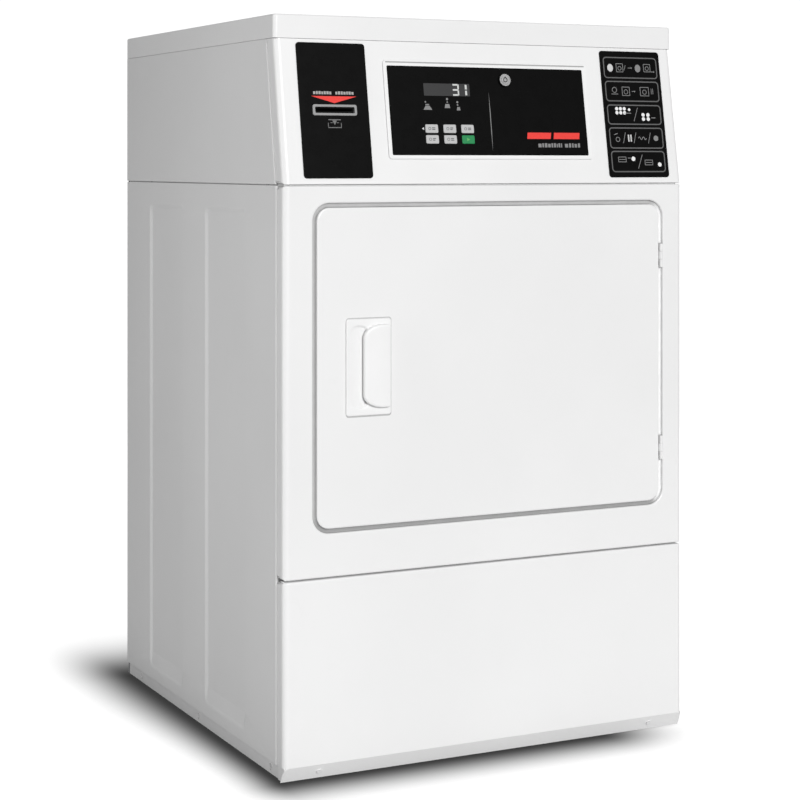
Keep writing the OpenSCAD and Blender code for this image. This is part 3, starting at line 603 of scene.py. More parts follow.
def side_skin(side, sg):
    """Side sheet: rolled front and rear edges and two pressed panels with soft sloping walls."""
    node = f"side_panel_{side}"
    lo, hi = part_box(node)
    xo = lo.x if sg < 0 else hi.x
    inward = -sg
    R = 0.0036
    ya, yb = lo.y + R, hi.y - R
    za, zb = lo.z, hi.z
    bm = bmesh.new()
    V = lambda d, y, z: bm.verts.new((xo + inward * d, y, z))
    pressed = [(0.147, 0.311), (0.418, 0.572)]
    depth, e_out, e_in = 0.0034, 0.0035, 0.0050
    nseg = 7
    edges = []
    corners = [V(0, ya, za), V(0, yb, za), V(0, yb, zb), V(0, ya, zb)]
    rim = list(zip(corners, corners[1:] + corners[:1]))
    edges += [bm.edges.new(p) for p in rim]
    for p0, p1 in pressed:
        y0, y1, z0, z1 = Y0 + p0, Y0 + p1, 0.0435, 0.821
        loops, cut = [], []
        zs = z0 + 0.026
        for k in range(nseg + 1):
            t = k / nseg
            e = e_out + (-e_in - e_out) * t
            d = depth * (t * t * (3 - 2 * t))
            r = max(0.0085 + e, 0.002)
            ring, cut = [], []
            pts = rr_pts(y0 - e, y1 + e, z0 - e, z1 + e, r, 6)
            for (ya_, za_), (yb_, zb_) in zip(pts, pts[1:] + pts[:1]):
                ring.append((ya_, za_))
                if (za_ - zs) * (zb_ - zs) < 0:
                    f_ = (zs - za_) / (zb_ - za_)
                    cut.append(len(ring))
                    ring.append((ya_ + (yb_ - ya_) * f_, zs))
            # the pressing runs out gently towards the foot of the sheet
            loops.append([V(d * min(1.0, max(0.1, 0.12 + 0.88 * (z - z0) / 0.026)), y, z) for y, z in ring])
        n = len(loops[0])
        edges += [bm.edges.new((loops[0][i], loops[0][(i + 1) % n])) for i in range(n)]
        for A, B in zip(loops, loops[1:]):
            for i in range(n):
                j = (i + 1) % n
                bm.faces.new((A[i], A[j], B[j], B[i]))
        a_, b_ = cut
        bm.faces.new(loops[-1][a_:b_ + 1])
        bm.faces.new(loops[-1][b_:] + loops[-1][:a_ + 1])
    bmesh.ops.triangle_fill(bm, use_beauty=True, use_dissolve=False, edges=edges)
    for y_edge, s in ((ya, -1), (yb, 1)):
        prev = [v for v in corners if abs(v.co.y - y_edge) < 1e-7]
        prev.sort(key=lambda v: v.co.z)
        for k in range(1, 6):
            a_ = math.pi / 2 * k / 5
            cur = [V(R - R * math.cos(a_), y_edge + s * R * math.sin(a_), v.co.z) for v in prev]
            bm.faces.new((prev[0], prev[1], cur[1], cur[0]))
            prev = cur
        cur = [V(0.0155, y_edge + s * R, v.co.z) for v in prev]
        bm.faces.new((prev[0], prev[1], cur[1], cur[0]))
    o = new_obj(f"side_skin_{side}", bm, M["white_side"], 40, weighted=False)
    # outward normals, then thickness inward
    me = o.data
    c = sum((p.center.x * p.area for p in me.polygons)) / sum(p.area for p in me.polygons)
    big = max(me.polygons, key=lambda p: p.area)
    if big.normal.x * sg < 0:
        me.flip_normals()
    so = o.modifiers.new("sheet", "SOLIDIFY")
    so.thickness = 0.0011
    so.offset = -1.0
    w = o.modifiers.new("normals", "WEIGHTED_NORMAL")
    w.keep_sharp = True
    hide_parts(node)
    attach(o, "cabinet")


side_skin("left", -1)
side_skin("right", 1)
for side in ("left", "right"):
    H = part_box(f"hood_side_{side}")
    xo = H[0].x if side == "left" else H[1].x
    rework(f"hood_side_{side}", [(lambda e, xo=xo, H=H: on_plane(0, xo, 1e-4)(e) and (e.verts[0].co - e.verts[1].co).length > 0.19
                                  and not all(near(v.co.z, H[0].z, 1e-4) for v in e.verts) and not all(near(v.co.z, H[1].z, 1e-4) for v in e.verts), 2.6 * MM, 5)],
           f"hood_skin_{side}")
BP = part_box("base_pan")
rework("base_pan", [(lambda e: abs(e.verts[0].co.z - e.verts[1].co.z) > 0.01 and any(near(abs(e.verts[0].co.x), BP[1].x, 1e-4) for _ in (0,)), 1.5 * MM, 3),
                    (lambda e: all(near(v.co.z, BP[0].z, 1e-4) for v in e.verts) and (e.verts[0].co - e.verts[1].co).length > 0.1, 0.3 * MM, 2)], "base_skin")


def door_rebate():
    """The turned-in step of the door opening, just behind the door's edge."""
    fl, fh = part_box("front_panel"), None
    x0, x1, z0, z1 = [v * 1000 for v in (DO[0].x, DO[1].x, DO[0].z, DO[1].z)]
    q = 6.4
    R = 26.4
    # insets with the depth away from the hinges and the depth beside them
    prof = [(0.05, 3.2, 3.2), (0.3, 4.0, 4.3), (1.0, 4.5, 5.0), (2.2, 4.6, 5.3), (4.3, 4.4, 5.4), (5.0, 3.3, 5.4), (5.75, 3.2, 5.4),
            (5.75, 6.6, 6.6), (1.0, 6.6, 6.6), (0.05, 6.2, 6.2)]
    loops = []
    for e, ya, yb in prof:
        row = []
        for x, z in rr_pts(x0 - q + e, x1 + q - e, z0 - q + e, z1 + q - e, R - e, 10):
            k = max(0.0, min(1.0, (x1 - 30 - x) / 10))
            row.append(cab(x, ya * k + yb * (1 - k), z))
        loops.append(row)
    bm = bmesh.new()
    rows = [[bm.verts.new(p) for p in lp] for lp in loops]
    n = len(rows[0])
    for A, B in zip(rows, rows[1:] + rows[:1]):
        for i in range(n):
            j = (i + 1) % n
            bm.faces.new((A[i], A[j], B[j], B[i]))
    bmesh.ops.recalc_face_normals(bm, faces=bm.faces)
    # the trim's grey stands for the door gap's shade: painted shade
    o = new_obj("door_rebate", bm, M["trim_grey"], 40)
    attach(o, "cabinet")


door_rebate()


def slab(name, lo, hi, r, mat, body):
    """A small pad with softened edges, in cabinet millimetres."""
    bm = bmesh.new()
    bmesh.ops.create_cube(bm, size=1.0)
    for v in bm.verts:
        v.co = cab(*[lo[k] if v.co[k] < 0 else hi[k] for k in range(3)])
    bmesh.ops.bevel(bm, geom=bm.edges[:], offset=r / 1000, segments=2, profile=0.5, affect="EDGES")
    o = new_obj(name, bm, mat, 40)
    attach(o, body)
    return o


for i, hz in enumerate((445, 747)):
    slab(f"hinge_pocket_{i + 1}", (295.6, 3.1, hz - 21.5), (302.6, 3.9, hz + 21.5), 0.25, M["white_paint"], "door")


def tray(name, pts_front, depth_top, h, mat):
    """A folded joggle strip behind a seam: a channel along a plan polyline, open to the front."""
    bm = bmesh.new()
    rows = []
    for z in (-h / 2, -h / 2 + 0.4, h / 2 - 0.4, h / 2):
        back = 0.0 if abs(z) < h / 2 - 0.1 else 0.0
        rows.append([bm.verts.new(depth_top(p, z, 0)) for p in pts_front])
    for A, B in zip(rows, rows[1:]):
        for i in range(len(A) - 1):
            bm.faces.new((A[i], A[i + 1], B[i + 1], B[i]))
    o = new_obj(name, bm, mat, 40, weighted=False)
    so = o.modifiers.new("sheet", "SOLIDIFY")
    so.thickness = 0.0008
    so.offset = 0
    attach(o, "cabinet")
    return o


def plan(inset, y_end, half=341.5, r=9.0):
    """Plan polyline of a folded panel, inset from its face, from the left return round to the right one."""
    x = half - inset
    rr = max(r - inset, 1.0)
    pts = [(-x, y_end)]
    for k in range(7):
        a = math.radians(180 + 90 * k / 6)
        pts.append((-x + rr + rr * math.cos(a), inset + rr + rr * math.sin(a)))
    for k in range(7):
        a = math.radians(270 + 90 * k / 6)
        pts.append((x - rr + rr * math.cos(a), inset + rr + rr * math.sin(a)))
    pts.append((x, y_end))
    return pts


SL = (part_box("front_panel")[0].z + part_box("lower_panel")[1].z) / 2 * 1000
SH = (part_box("front_panel")[1].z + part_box("control_panel")[0].z) / 2 * 1000
tray("seam_backing_low", plan(14.0, 22.0), lambda p, z, _: cab(p[0], p[1], SL + z), 7.0, M["white_paint"])
tray("seam_backing_high", plan(6.0, 24.0), lambda p, z, _: cab(p[0], p[1], SH + z), 7.0, M["white_paint"])
# pads closing the high seam's ends at the corners; their grey is painted shade of the seam, the right one lightened by
# the grey's painted-light ramp towards the right
slab("seam_corner_shade_left", (-339.7, 3.4, SH - 2.6), (-331.0, 26.0, SH + 2.6), 0.6, M["seal_grey"], "cabinet")
slab("seam_corner_shade_right", (331.0, 3.4, SH - 2.6), (339.7, 26.0, SH + 2.6), 0.6, M["seal_grey"], "cabinet")
for side, sg in (("left", -1), ("right", 1)):
    P_, H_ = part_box(f"side_panel_{side}"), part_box(f"hood_side_{side}")
    xs = (P_[0].x if sg < 0 else P_[1].x) * 1000 - sg * 4.6
    zc = (P_[1].z + H_[0].z) / 2 * 1000
    tray(f"side_backing_{side}", [(xs, 30), (xs, 692)], lambda p, z, _, zc=zc: cab(p[0], p[1], zc + z), 7.0, M["white_side"])

# ------------------------------------------------------------------ console mouldings
rework("console_bezel", [(on_depth(-2.2), 0.7 * MM, 4)], "bezel_frame")
rework("display_overlay", [(on_depth(-1.6), 0.25 * MM, 2)], "overlay_film")
rework("card_reader_plate", [(on_depth(-1.4), 0.3 * MM, 3)], "reader_plate")
rework("instruction_plate", [(on_depth(-1.4), 0.3 * MM, 3)], "pictogram_plate")
reader = rework("card_reader", [(on_depth(-3.4), 0.5 * MM, 3)], "reader_body")
# the card slot's inner faces take the black film: painted shade of the slot
reader.data.materials.append(M["black_plate"])
RC = [(a + b) / 2 for a, b in zip(*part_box("card_reader_plate"))]
for p in reader.data.polygons:
    dx = abs(p.center.x - RC[0]) * 1000
    d = con_depth(p.center) * 1000
    up = ((p.center.y - Y0) * SA + (p.center.z - SEAM_HI) * CA) * 1000
    if dx < 31.7 and abs(up - 110.2) < 4.7 and d > -2.85:
        p.material_index = 1
for k in ("key_1", "key_2", "key_3", "key_4", "key_5", "key_start"):
    rework(k, [(on_depth(-2.4), 0.55 * MM, 3)], k + "_cap")


BZ0, BZ1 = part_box("console_bezel")
BXC = (BZ0.x + BZ1.x) * 500
BSC = 112.6


def con_ring(name, outer, inner, d0, d1, mat, soft=0.25):
    """A moulded ring on the console between two rounded outlines, from depth d0 out to d1."""
    bm = bmesh.new()
    rows = []
    for pts, d in ((outer, d0), (outer, d1 + soft), ([(x * 0.9995 + BXC * 0.0005, q * 0.9995 + BSC * 0.0005) for x, q in outer], d1), (inner, d1),
                   ([(x * 0.9995 + BXC * 0.0005, q * 0.9995 + BSC * 0.0005) for x, q in inner], d1 + soft), (inner, d0)):
        rows.append([bm.verts.new(con(x, d, q)) for x, q in pts])
    n = len(rows[0])
    for A, B in zip(rows, rows[1:] + rows[:1]):
        for i in range(n):
            j = (i + 1) % n
            bm.faces.new((A[i], A[j], B[j], B[i]))
    o = new_obj(name, bm, mat, 40)
    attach(o, "cabinet")
    return o


con_ring("bezel_lip", rr_pts(BXC - 172.2, BXC + 172.2, BSC - 69.7, BSC + 69.7, 3, 8), rr_pts(BXC - 170.3, BXC + 167.6, BSC - 68.9, BSC + 66.2, 2.2, 8),
         -1.62, -2.12, M["bezel_white"], 0.2)
LX, LS = 33.9, 160.0
lock_rim = lambda q: [(LX + q * math.cos(2 * math.pi * i / 40), LS + q * math.sin(2 * math.pi * i / 40)) for i in range(40)]
con_ring("lock_surround", lock_rim(10.85), lock_rim(9.35), -1.6, -4.4, M["black_plate"], 0.25)
# grey ring just outside the bezel: a painted shadow line under its edge
con_ring("bezel_shadow_ring", rr_pts(BXC - 176.2, BXC + 176.2, BSC - 74.7, BSC + 74.8, 5.6, 8), rr_pts(BXC - 174.5, BXC + 174.5, BSC - 73.2, BSC + 73.2, 4, 8),
         0.0, -0.45, M["seal_grey"], 0.2)


# ------------------------------------------------------------------ door handle: escutcheon with a scooped well, and the pull over it
def handle():
    cx, cz = -207.7, 594.3
    hw, hh = 36.2, 70.7

    def lp(x0, x1, z0, z1, r, y, n=10):
        return [cab(x, y(x) if callable(y) else y, z) for x, z in rr_pts(x0, x1, z0, z1, r, n)]

    def plate(e, y):
        return lp(cx - hw + e, cx + hw - e, cz - hh + e, cz + hh - e, max(4 - e, 1.0), y)

    # the well is a shallow dish as far as the pull's edge, and only drops away behind it
    def ramp(x):
        t = min(1.0, max(0.0, (x + 240.0) / 20.0))
        u = min(1.0, max(0.0, (x + 214.5) / 8.0))
        return -2.6 + 1.9 * (t * t * (3 - 2 * t)) + 10.0 * (u * u * (3 - 2 * u))

    X0, X1, Z0, Z1 = -241.2, -205.0, 533.0, 655.6

    def well(e, y, r=16.0):
        return lp(X0 + e, X1 - e, Z0 + e, Z1 - e, max(r - e, 0.8), y)

    loops = [lp(-240.4, -203.6, 537.6, 650.4, 9.5, 14.0), lp(-240.4, -203.6, 537.6, 650.4, 9.5, -0.02),
             plate(0.9, -0.02), plate(0.9, -0.8), plate(0, -0.9), plate(0, -1.6), plate(0.25, -2.35), plate(0.8, -2.95), plate(1.6, -3.2),
             well(-1.0, -3.2), well(-0.4, -3.14), well(0.2, -3.0), well(0.9, lambda x: max(-2.9, ramp(x) - 1.2) if x < -222 else -2.7),
             well(1.8, lambda x: ramp(x) - 0.5 if x < -222 else -1.9), well(3.0, lambda x: ramp(x) - 0.15 if x < -222 else -0.6),
             well(4.6, ramp), well(6.4, ramp), well(8.2, ramp), well(10, ramp), well(12, ramp), well(14, ramp), well(16, ramp), well(17.4, ramp)]
    a = loft("handle_plate", loops, M["white_plastic"], 50)

    # pull: a D seen from the front, its free edge to the left, crowned and sloping up to the right
    DX0, DX1, DZ0, DZ1 = -217.6, -175.5, 535.0, 656.5

    def dee(e, lift, n=12):
        pts = []
        x0, x1, z0, z1 = DX0 + e, DX1 - e, DZ0 + e, DZ1 - e
        for (ox, oz, rx, rz, a0) in ((x0, z0, 30 - e * 0.8, 19 - e, 180), (x1, z0, max(3.2 - e, 0.5), max(3.2 - e, 0.5), 270),
                                     (x1, z1, max(3.2 - e, 0.5), max(3.2 - e, 0.5), 0), (x0, z1, 30 - e * 0.8, 19 - e, 90)):
            rx, rz = min(max(rx, 0.5), x1 - x0 - 0.6), max(rz, 0.5)
            ccx = ox + rx if a0 in (180, 90) else ox - rx
            ccz = oz + rz if a0 in (180, 270) else oz - rz
            for k in range(n + 1):
                q = math.radians(a0 + 90 * k / n)
                x, z = ccx + rx * math.cos(q), ccz + rz * math.sin(q)
                top = -10.0 - 2.0 * min(1.0, max(0.0, (x - DX0) / 30.0)) ** 0.8
                pts.append(cab(x, lift(top), z))
        return pts

    foot = [cab(x, 0, z) for x, z in rr_pts(-203.8, -177.4, 536.0, 653.0, (12, 3, 3, 12), 12)]
    fl = lambda y: [Vector((v.x, Y0 + y / 1000.0, v.z)) for v in foot]
    loops = [fl(-2.9), fl(-3.4), dee(1.6, lambda t: -3.4), dee(0.5, lambda t: -3.5), dee(0.1, lambda t: -3.9), dee(0.0, lambda t: -4.6),
             dee(0.0, lambda t: t + 2.6), dee(0.2, lambda t: t + 1.5), dee(0.7, lambda t: t + 0.7), dee(1.6, lambda t: t + 0.2), dee(3.0, lambda t: t),
             dee(5, lambda t: t), dee(8, lambda t: t), dee(11, lambda t: t), dee(14, lambda t: t), dee(17, lambda t: t)]
    b = loft("handle_pull", loops, M["white_plastic"], 50)
    # thin grey strip between the plate and the door skin, showing at the top, right and bottom: a painted shadow gap
    # round the plate
    bm = bmesh.new()
    outer = lambda y, e: [cab(x, y, z) for x, z in rr_pts(cx - hw + 0.4 + e, cx + hw + 1.5 - e, cz - hh - 2.2 + e, cz + hh + 1.5 - e, 4.5 - e, 10)]
    inner = [cab(x, 0.0, z) for x, z in rr_pts(cx - hw + 2, cx + hw - 2, cz - hh + 2, cz + hh - 2, 2.5, 10)]
    rows = [[bm.verts.new(p) for p in lp_] for lp_ in (outer(0.0, 0), outer(-0.35, 0.1), outer(-0.55, 0.5),
            [Vector((v.x, Y0 - 0.00055, v.z)) for v in inner], inner)]
    for A, B in zip(rows, rows[1:] + rows[:1]):
        for i in range(len(A)):
            j = (i + 1) % len(A)
            bm.faces.new((A[i], A[j], B[j], B[i]))
    bmesh.ops.recalc_face_normals(bm, faces=bm.faces)
    c = new_obj("handle_shadow_strip", bm, M["seal_grey"], 40)
    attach(c, "door")
    for o in (a, b):
        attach(o, "door")
    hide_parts("door_handle")


handle()

# ------------------------------------------------------------------ printed and lit details on the console
PF, OF_, KF = -1.4, -1.6, -2.4      # outer faces: plates, display overlay, keys


def blocks(x0, x1, s0, s1, widths, gap):
    """A row of small blocks of different widths that fills x0..x1: a generic stand-in for a caption."""
    tot = sum(widths) + gap * (len(widths) - 1)
    k = (x1 - x0) / tot
    out, x = [], x0
    for i, w in enumerate(widths):
        lift = 0.0 if i % 3 else (s1 - s0) * 0.12
        out.append((rect(x, s0, x + w * k, s1 - lift), None))
        x += (w + gap) * k
    return out


# card reader plate
# painted shadow: a grey band along the bezel's top edge stands for a groove's shadow
flat("bezel_groove_shadow", [(rect(BXC - 172.0, BSC + 70.5, BXC + 172.0, BSC + 72.6), None)], -2.2, M["painted_groove_shadow"], thick=0.06)
flat("reader_caption", blocks(-286.5, -257.5, 133.6, 138.2, [3, 2.4, 3, 2.2, 2.8, 3, 2.6], 0.9)
     + blocks(-251.0, -221.8, 133.6, 138.2, [2.6, 3, 2.6, 2.9, 2.2, 3, 2.8], 0.9), PF, M["ink_caption"])
flat("reader_arrow", [([(-290.2, 130.9), (-253.6, 120.6), (-217.0, 130.9)], None)], PF, M["ink_red"])
flat("reader_icon", path([(-265.5, 84.2), (-265.5, 91.5)], 1.0) + path([(-244.8, 84.2), (-244.8, 91.5)], 1.0)
     + [(seg(-266, 84.4, -244.3, 84.4, 1.2), None), (seg(-265, 96.0, -245.2, 96.0, 1.3), None),
        ([(-259.0, 95.0), (-255.2, 88.2), (-251.4, 95.0)], None), (seg(-262, 91.6, -258.4, 91.6, 0.9), None), (seg(-252, 91.6, -248.4, 91.6, 0.9), None)],
     PF, M["ink_icon"])

# display window, digits, indicators
flat("display_window", [(rr_pts(-105.7, -27.8, 134.1, 153.0, 0.8), None)], OF_, M["window"], thick=0.06)


def digit(x, s, w, h, which, t=2.0):
    segs = {"a": rect(x + t * 0.6, s + h - t, x + w - t * 0.6, s + h), "g": rect(x + t * 0.6, s + h / 2 - t / 2, x + w - t * 0.6, s + h / 2 + t / 2),
            "d": rect(x + t * 0.6, s, x + w - t * 0.6, s + t), "b": rect(x + w - t, s + h / 2 + t * 0.3, x + w, s + h - t * 0.3),
            "c": rect(x + w - t, s + t * 0.3, x + w, s + h / 2 - t * 0.3)}
    return [(segs[k], None) for k in which]


flat("display_digits", digit(-58.0, 134.6, 12.0, 18.0, "abgcd", 2.5) + digit(-42.3, 134.6, 9.8, 18.0, "bc", 3.2), OF_ - 0.06, M["digit"], thick=0.08)
flat("display_marks",
     [([(-108.4, 112.6), (-93.6, 112.6), (-97.6, 118.6), (-104.6, 118.6)], None), (rect(-104.6, 119.4, -98.6, 121.4), None), (circ(-104.4, 124.6, 1.3, 12), None),
      ([(-72.6, 115.6), (-63.0, 115.6), (-64.6, 121.8), (-71.0, 121.8)], None), (circ(-67.6, 124.6, 1.2, 12), None), (circ(-67.6, 129.2, 1.9, 14), None),
      ([(-52.4, 112.2), (-46.0, 112.2), (-46.9, 117.4), (-51.3, 117.4)], None), (circ(-50.3, 120.6, 1.3, 12), None), (circ(-50.4, 124.8, 1.7, 14), None)],
     OF_, M["ink_grey"])
flat("key_pointer", [([(-113.4, 84.0), (-110.0, 81.8), (-110.0, 86.2)], None)], OF_, M["ink_white"])
flat("panel_divider", [([(4.2, 50), (5.1, 80), (5.3, 112), (4.6, 141), (4.0, 112), (3.9, 80)], None)], OF_, M["ink_grey"])

# generic badge: two plain bars and a thin dashed line under them
sk = lambda x0, x1, s0, s1, k=1.6: ([(x0, s0), (x1, s0), (x1 + k, s1), (x0 + k, s1)], None)
flat("badge_bar", [sk(65.6, 107.2, 69.4, 79.2), sk(112.2, 158.2, 69.4, 79.2)], OF_, M["ink_red"])
flat("badge_line", blocks(84.4, 126.4, 56.4, 62.8, [4.2, 2.2, 3.4, 3.4, 2.2, 2.6, 1.4, 2.2, 1.4], 1.1)
     + blocks(131.6, 158.6, 56.4, 62.8, [3.4, 2.2, 1.6, 2.6, 2.2], 1.1), OF_, M["ink_grey"])

# key markings ride on their keys
KX, KS = (-97.1, -66.7, -36.5), (84.0, 67.8)
for i, (key, cx, cs) in enumerate((("key_1", KX[0], KS[0]), ("key_2", KX[1], KS[0]), ("key_3", KX[2], KS[0]),
                                   ("key_4", KX[0], KS[1]), ("key_5", KX[1], KS[1]), ("key_start", KX[2], KS[1]))):
    body = N[key]["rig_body"]
    if key == "key_start":
        sh = [([(cx - 2.4, cs - 2.6), (cx + 2.8, cs), (cx - 2.4, cs + 2.6)], None)]
        flat(key + "_mark", sh, KF, M["ink_keygreen"], body=body)
    else:
        sh = [(ring(cx - 3.6, cs, 2.3, 0.7, 20)), (rect(cx + 0.4, cs + 0.5, cx + 5.6, cs + 1.8), None), (rect(cx + 0.4, cs - 1.9, cx + (4.2 if i % 2 else 5.6), cs - 0.6), None)]
        flat(key + "_mark", sh, KF, M["ink_dark"], body=body)

# pictogram plate: five framed rows of plain symbols
FX0, FX1 = 213.8, 313.4
rows = ((167.0, 201.2), (129.9, 162.8), (93.0, 125.0), (55.0, 88.6), (17.6, 51.4))
flat("picto_frames", [frame_ring(FX0, a, FX1, b, 6.0, 1.8) for a, b in rows], PF, M["ink_dim"])


def machine(cx, cs, w, h, door=True):
    out = [frame_ring(cx - w / 2, cs - h / 2, cx + w / 2, cs + h / 2, 0.8, 0.9)]
    if door:
        out.append(ring(cx, cs - h * 0.06, min(w, h) * 0.27, 0.9, 20))
    return out


def arrow(x0, x1, s, h=2.2):
    return [(seg(x0, s, x1 - h, s, 0.9), None), ([(x1 - h, s - h / 1.4), (x1, s), (x1 - h, s + h / 1.4)], None)]


bright, white, grey = [], [], []
s1 = 184.0
white += [(circ(226.2, s1 - 0.4, 5.2, 28, 6.2), None)]
grey += [(circ(277.2, s1 - 0.4, 5.2, 28, 6.2), None)]
grey += machine(243.6, s1, 13, 14) + [(seg(251.5, s1 - 4, 254.5, s1 + 4, 0.9), None)] + arrow(259, 267, s1)
grey += machine(294.5, s1 + 0.5, 13, 13) + arrow(301, 308.5, s1 - 5.5)
s2 = 146.4
grey += [ring(230.6, s2 + 2.0, 4.6, 1.0, 20), (seg(224.5, s2 - 4.6, 236.8, s2 - 4.6, 1.0), None)] + machine(251.6, s2, 14.5, 14.5) + arrow(262.6, 269.4, s2)
grey += machine(286.2, s2, 16.5, 14.5) + [(seg(299, s2 - 4, 299, s2 + 5, 0.9), None), (seg(302, s2 - 4, 302, s2 + 5, 0.9), None)]
s3 = 109.4
for ix in range(3):
    for js in range(2):
        bright.append((circ(231.6 + 7.0 * ix, s3 + 2.6 + 6.4 * js, 2.9, 16), None))
bright += [(circ(254.6, s3 + 7.6, 2.3, 14), None)]
grey += [(seg(262.0, s3 - 10.5, 270.5, s3 + 11, 0.9), None), (seg(244.4, s3 + 2, 257.6, s3 + 2, 1.2), None)]
for ix in range(2):
    for js in range(2):
        bright.append((circ(279.8 + 9.0 * ix, s3 - 7.0 + 6.6 * js, 3.1, 16), None))
grey += [(seg(294.5, s3 - 5, 302.5, s3 - 5, 1.2), None)]
s4 = 71.6
grey += [ring(229.0, s4 - 2, 4.0, 1.0, 18), (seg(222.8, s4 + 5.4, 229.4, s4 + 7.4, 1.1), None), (seg(238.6, s4 - 8, 243.8, s4 + 9, 0.9), None)]
white += [(rect(247.9, s4 - 5.4, 250.3, s4 + 5.4), None), (rect(252.3, s4 - 5.4, 254.7, s4 + 5.4), None)]
grey += [(seg(258.4, s4 - 8, 263.4, s4 + 9, 0.9), None)]
grey += path([(267.4 + 14.4 * i / 16, s4 + 2.3 * math.sin(math.pi * i / 4)) for i in range(17)], 1.1) + [(seg(285.2, s4 - 8, 290.2, s4 + 9, 0.9), None)]
grey += [(circ(299.8, s4, 4.4, 20), None)]
s5 = 34.4
grey += machine(233.8, s5 + 3.4, 15, 8.6, False) + [(seg(228, s5 + 3.4, 240, s5 + 3.4, 0.9), None), (seg(244.2, s5 + 5.6, 249.6, s5 + 5.6, 1.0), None)]
bright += [(circ(254.4, s5 + 4.4, 3.6, 20), None)]
grey += [(seg(262.4, s5 - 11, 271.4, s5 + 11, 0.9), None)]
grey += machine(282.6, s5 - 1.4, 15, 8.6, False) + [(seg(277.0, s5 - 1.4, 288.4, s5 - 1.4, 0.9), None)]
bright += [(circ(302.6, s5 - 4.6, 3.4, 20), None)]
flat("picto_bright", bright, PF, M["ink_bright"])
flat("picto_white", white, PF, M["ink_white"])
flat("picto_grey", grey, PF, M["ink_grey"])

# ------------------------------------------------------------------ rear: rubber grommet round the cord hole
def torus_ring(name, cx, y, cz, R, r, mat, flat_k=1.0):
    bm = bmesh.new()
    rows = []
    for i in range(48):
        a = 2 * math.pi * i / 48
        row = []
        for k in range(12):
            b = 2 * math.pi * k / 12
            q = R + r * math.cos(b)
            row.append(bm.verts.new(cab(cx + q * math.cos(a), y + r * flat_k * math.sin(b), cz + q * math.sin(a))))
        rows.append(row)
    for i in range(48):
        A, B = rows[i], rows[(i + 1) % 48]
        for k in range(12):
            j = (k + 1) % 12
            bm.faces.new((A[k], A[j], B[j], B[k]))
    o = new_obj(name, bm, mat, 60, weighted=False)
    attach(o, "cabinet")
    return o


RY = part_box("rear_panel")[1].y * 1000 - Y0 * 1000
torus_ring("cord_grommet", -255, RY + 1.3, 210, 14.6, 3.0, M["black_rubber"], 1.1)

# ------------------------------------------------------------------ floor, backdrop, light, camera
bm = bmesh.new()
for x, y in ((-40, -40), (40, -40), (40, 60), (-40, 60)):
    bm.verts.new((x, y, 0))
bm.faces.new(bm.verts)
floor_m = Mat("studio_floor")
floor = new_obj("studio_floor", bm, floor_m.m)
floor.location.z = -0.0004
nt = floor_m.nt
B0, B1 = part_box("base_pan")
xyz = floor_m.sep()
# a soft contact shadow round the footprint, a little heavier to the left and in front
wide = floor_m.ramp(xyz[1], B0.y, B1.y, 0.129, 0.210)
out_l = floor_m.math("DIVIDE", floor_m.math("SUBTRACT", B0.x, xyz[0]), wide)
sides = (floor_m.ramp(out_l, 0.0, 1.0, 1.0, 0.0), floor_m.ramp(xyz[0], B1.x - 0.14, B1.x + 0.123, 1.0, 0.0),
         floor_m.ramp(xyz[1], B0.y - 0.198, B0.y), floor_m.ramp(xyz[1], B1.y - 0.010, B1.y + 0.465, 1.0, 0.0))
dens = floor_m.math("MULTIPLY", floor_m.math("MULTIPLY", sides[0], sides[1]), floor_m.math("MULTIPLY", sides[2], sides[3]))
dens = floor_m.math("POWER", dens, 2.39)
clear = floor_m.math("SUBTRACT", 1.0, floor_m.math("MULTIPLY", dens, 0.955))
clear = floor_m.math("MULTIPLY", clear, floor_m.ramp(floor_m.noise(3, 3), 0.3, 0.7, 0.995, 1.0))
lp_ = nt.nodes.new("ShaderNodeLightPath")
seen = lp_.outputs["Is Camera Ray"]
tone = floor_m.math("ADD", floor_m.math("MULTIPLY", floor_m.math("MULTIPLY", clear, 0.36), seen),
                    floor_m.math("MULTIPLY", floor_m.math("MULTIPLY", floor_m.math("SUBTRACT", 1.0, seen), 0.62), floor_m.math("ADD", 0.45, floor_m.math("MULTIPLY", clear, 0.55))))
comb = nt.nodes.new("ShaderNodeCombineColor")
for k in range(3):
    floor_m.link(tone, comb.inputs[k])
diff = nt.nodes.new("ShaderNodeBsdfDiffuse")
floor_m.link(comb.outputs[0], diff.inputs["Color"])
glow = nt.nodes.new("ShaderNodeEmission")
floor_m.link(floor_m.math("MULTIPLY", floor_m.math("MULTIPLY", clear, 0.905), seen), glow.inputs["Strength"])
both = nt.nodes.new("ShaderNodeAddShader")
floor_m.link(diff.outputs[0], both.inputs[0])
floor_m.link(glow.outputs[0], both.inputs[1])
floor_m.link(both.outputs[0], nt.nodes["Material Output"].inputs["Surface"])

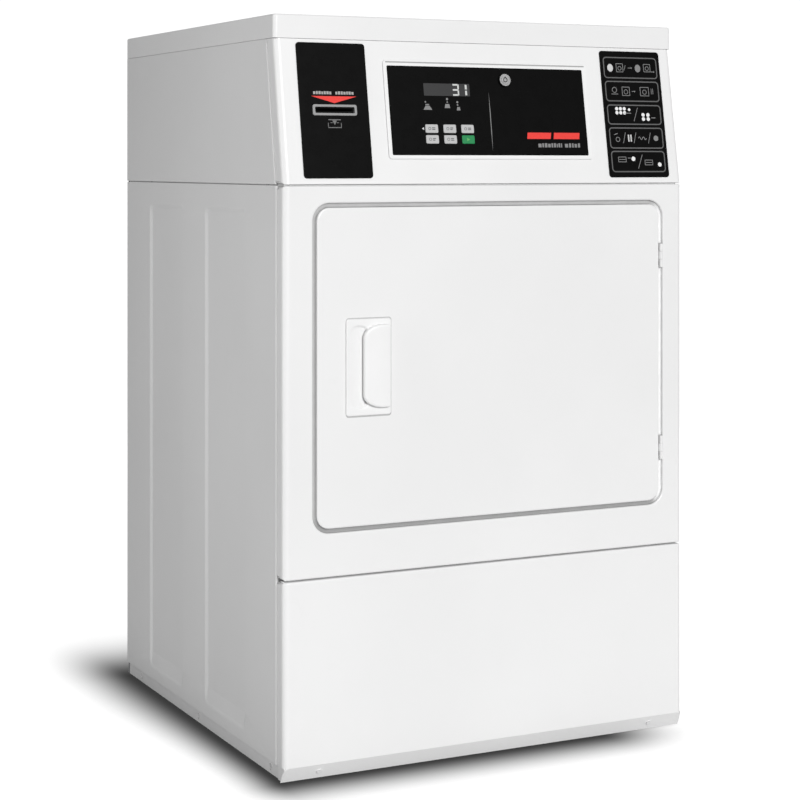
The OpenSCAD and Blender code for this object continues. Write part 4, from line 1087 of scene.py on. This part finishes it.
scene = bpy.context.scene
scene.view_settings.view_transform = "Standard"
scene.view_settings.look = "None"
world = bpy.data.worlds.new("studio")
scene.world = world
world.use_nodes = True
wn = world.node_tree
bg = wn.nodes["Background"]
wl = wn.nodes.new("ShaderNodeLightPath")
wm = wn.nodes.new("ShaderNodeMapRange")
wm.inputs["To Min"].default_value = 0.315
wm.inputs["To Max"].default_value = 1.06
wn.links.new(wl.outputs["Is Camera Ray"], wm.inputs["Value"])
wn.links.new(wm.outputs["Result"], bg.inputs["Strength"])
bg.inputs["Color"].default_value = (1, 1, 1, 1)


def area(name, loc, target, size, power, size_y=None):
    d = bpy.data.lights.new(name, "AREA")
    d.shape = "RECTANGLE"
    d.size, d.size_y = size, size_y or size
    d.energy = power
    o = bpy.data.objects.new(name, d)
    scene.collection.objects.link(o)
    o.location = loc
    o.rotation_euler = (Vector(target) - Vector(loc)).to_track_quat("-Z", "Y").to_euler()
    return o


def sun(name, frm, strength, angle):
    d = bpy.data.lights.new(name, "SUN")
    d.energy = strength
    d.angle = math.radians(angle)
    o = bpy.data.objects.new(name, d)
    scene.collection.objects.link(o)
    o.rotation_euler = (-Vector(frm)).to_track_quat("-Z", "Y").to_euler()
    return o


sun("key", (0.05, -1.0, 0.28), 2.27, 16)
fill = area("left_fill", (-1.45, -0.41, 0.78), (0.0, -0.27, 0.78), 0.4, 5.3, 1.7)
fill.visible_camera = False
back = area("back_fill", (1.9, 2.7, 1.5), (0.1, 0.2, 0.6), 1.6, 26)
back.visible_camera = False
back.visible_glossy = False

cam_d = bpy.data.cameras.new("photo_camera")
cam = bpy.data.objects.new("photo_camera", cam_d)
scene.collection.objects.link(cam)
CAM = Vector((-1.45885, -2.99364, 0.89188))
cam.location = CAM
yaw = math.radians(26.33)
cam.rotation_euler = Vector((math.sin(yaw), math.cos(yaw), 0)).to_track_quat("-Z", "Y").to_euler()
cam_d.sensor_width = 36
cam_d.lens = 1995.5 / 800 * 36
cam_d.shift_y = -0.2961
cam_d.clip_start, cam_d.clip_end = 0.05, 200
# the lens shift belongs to the photograph's camera position only, so that any other view is centred
drv = cam_d.driver_add("shift_y").driver
drv.type = "SCRIPTED"
v = drv.variables.new()
v.name = "x"
v.type = "TRANSFORMS"
v.targets[0].id = cam
v.targets[0].transform_type = "LOC_X"
v.targets[0].transform_space = "WORLD_SPACE"
drv.expression = "-0.2961 if abs(x + 1.45885) < 0.0005 else 0.0"
scene.camera = cam
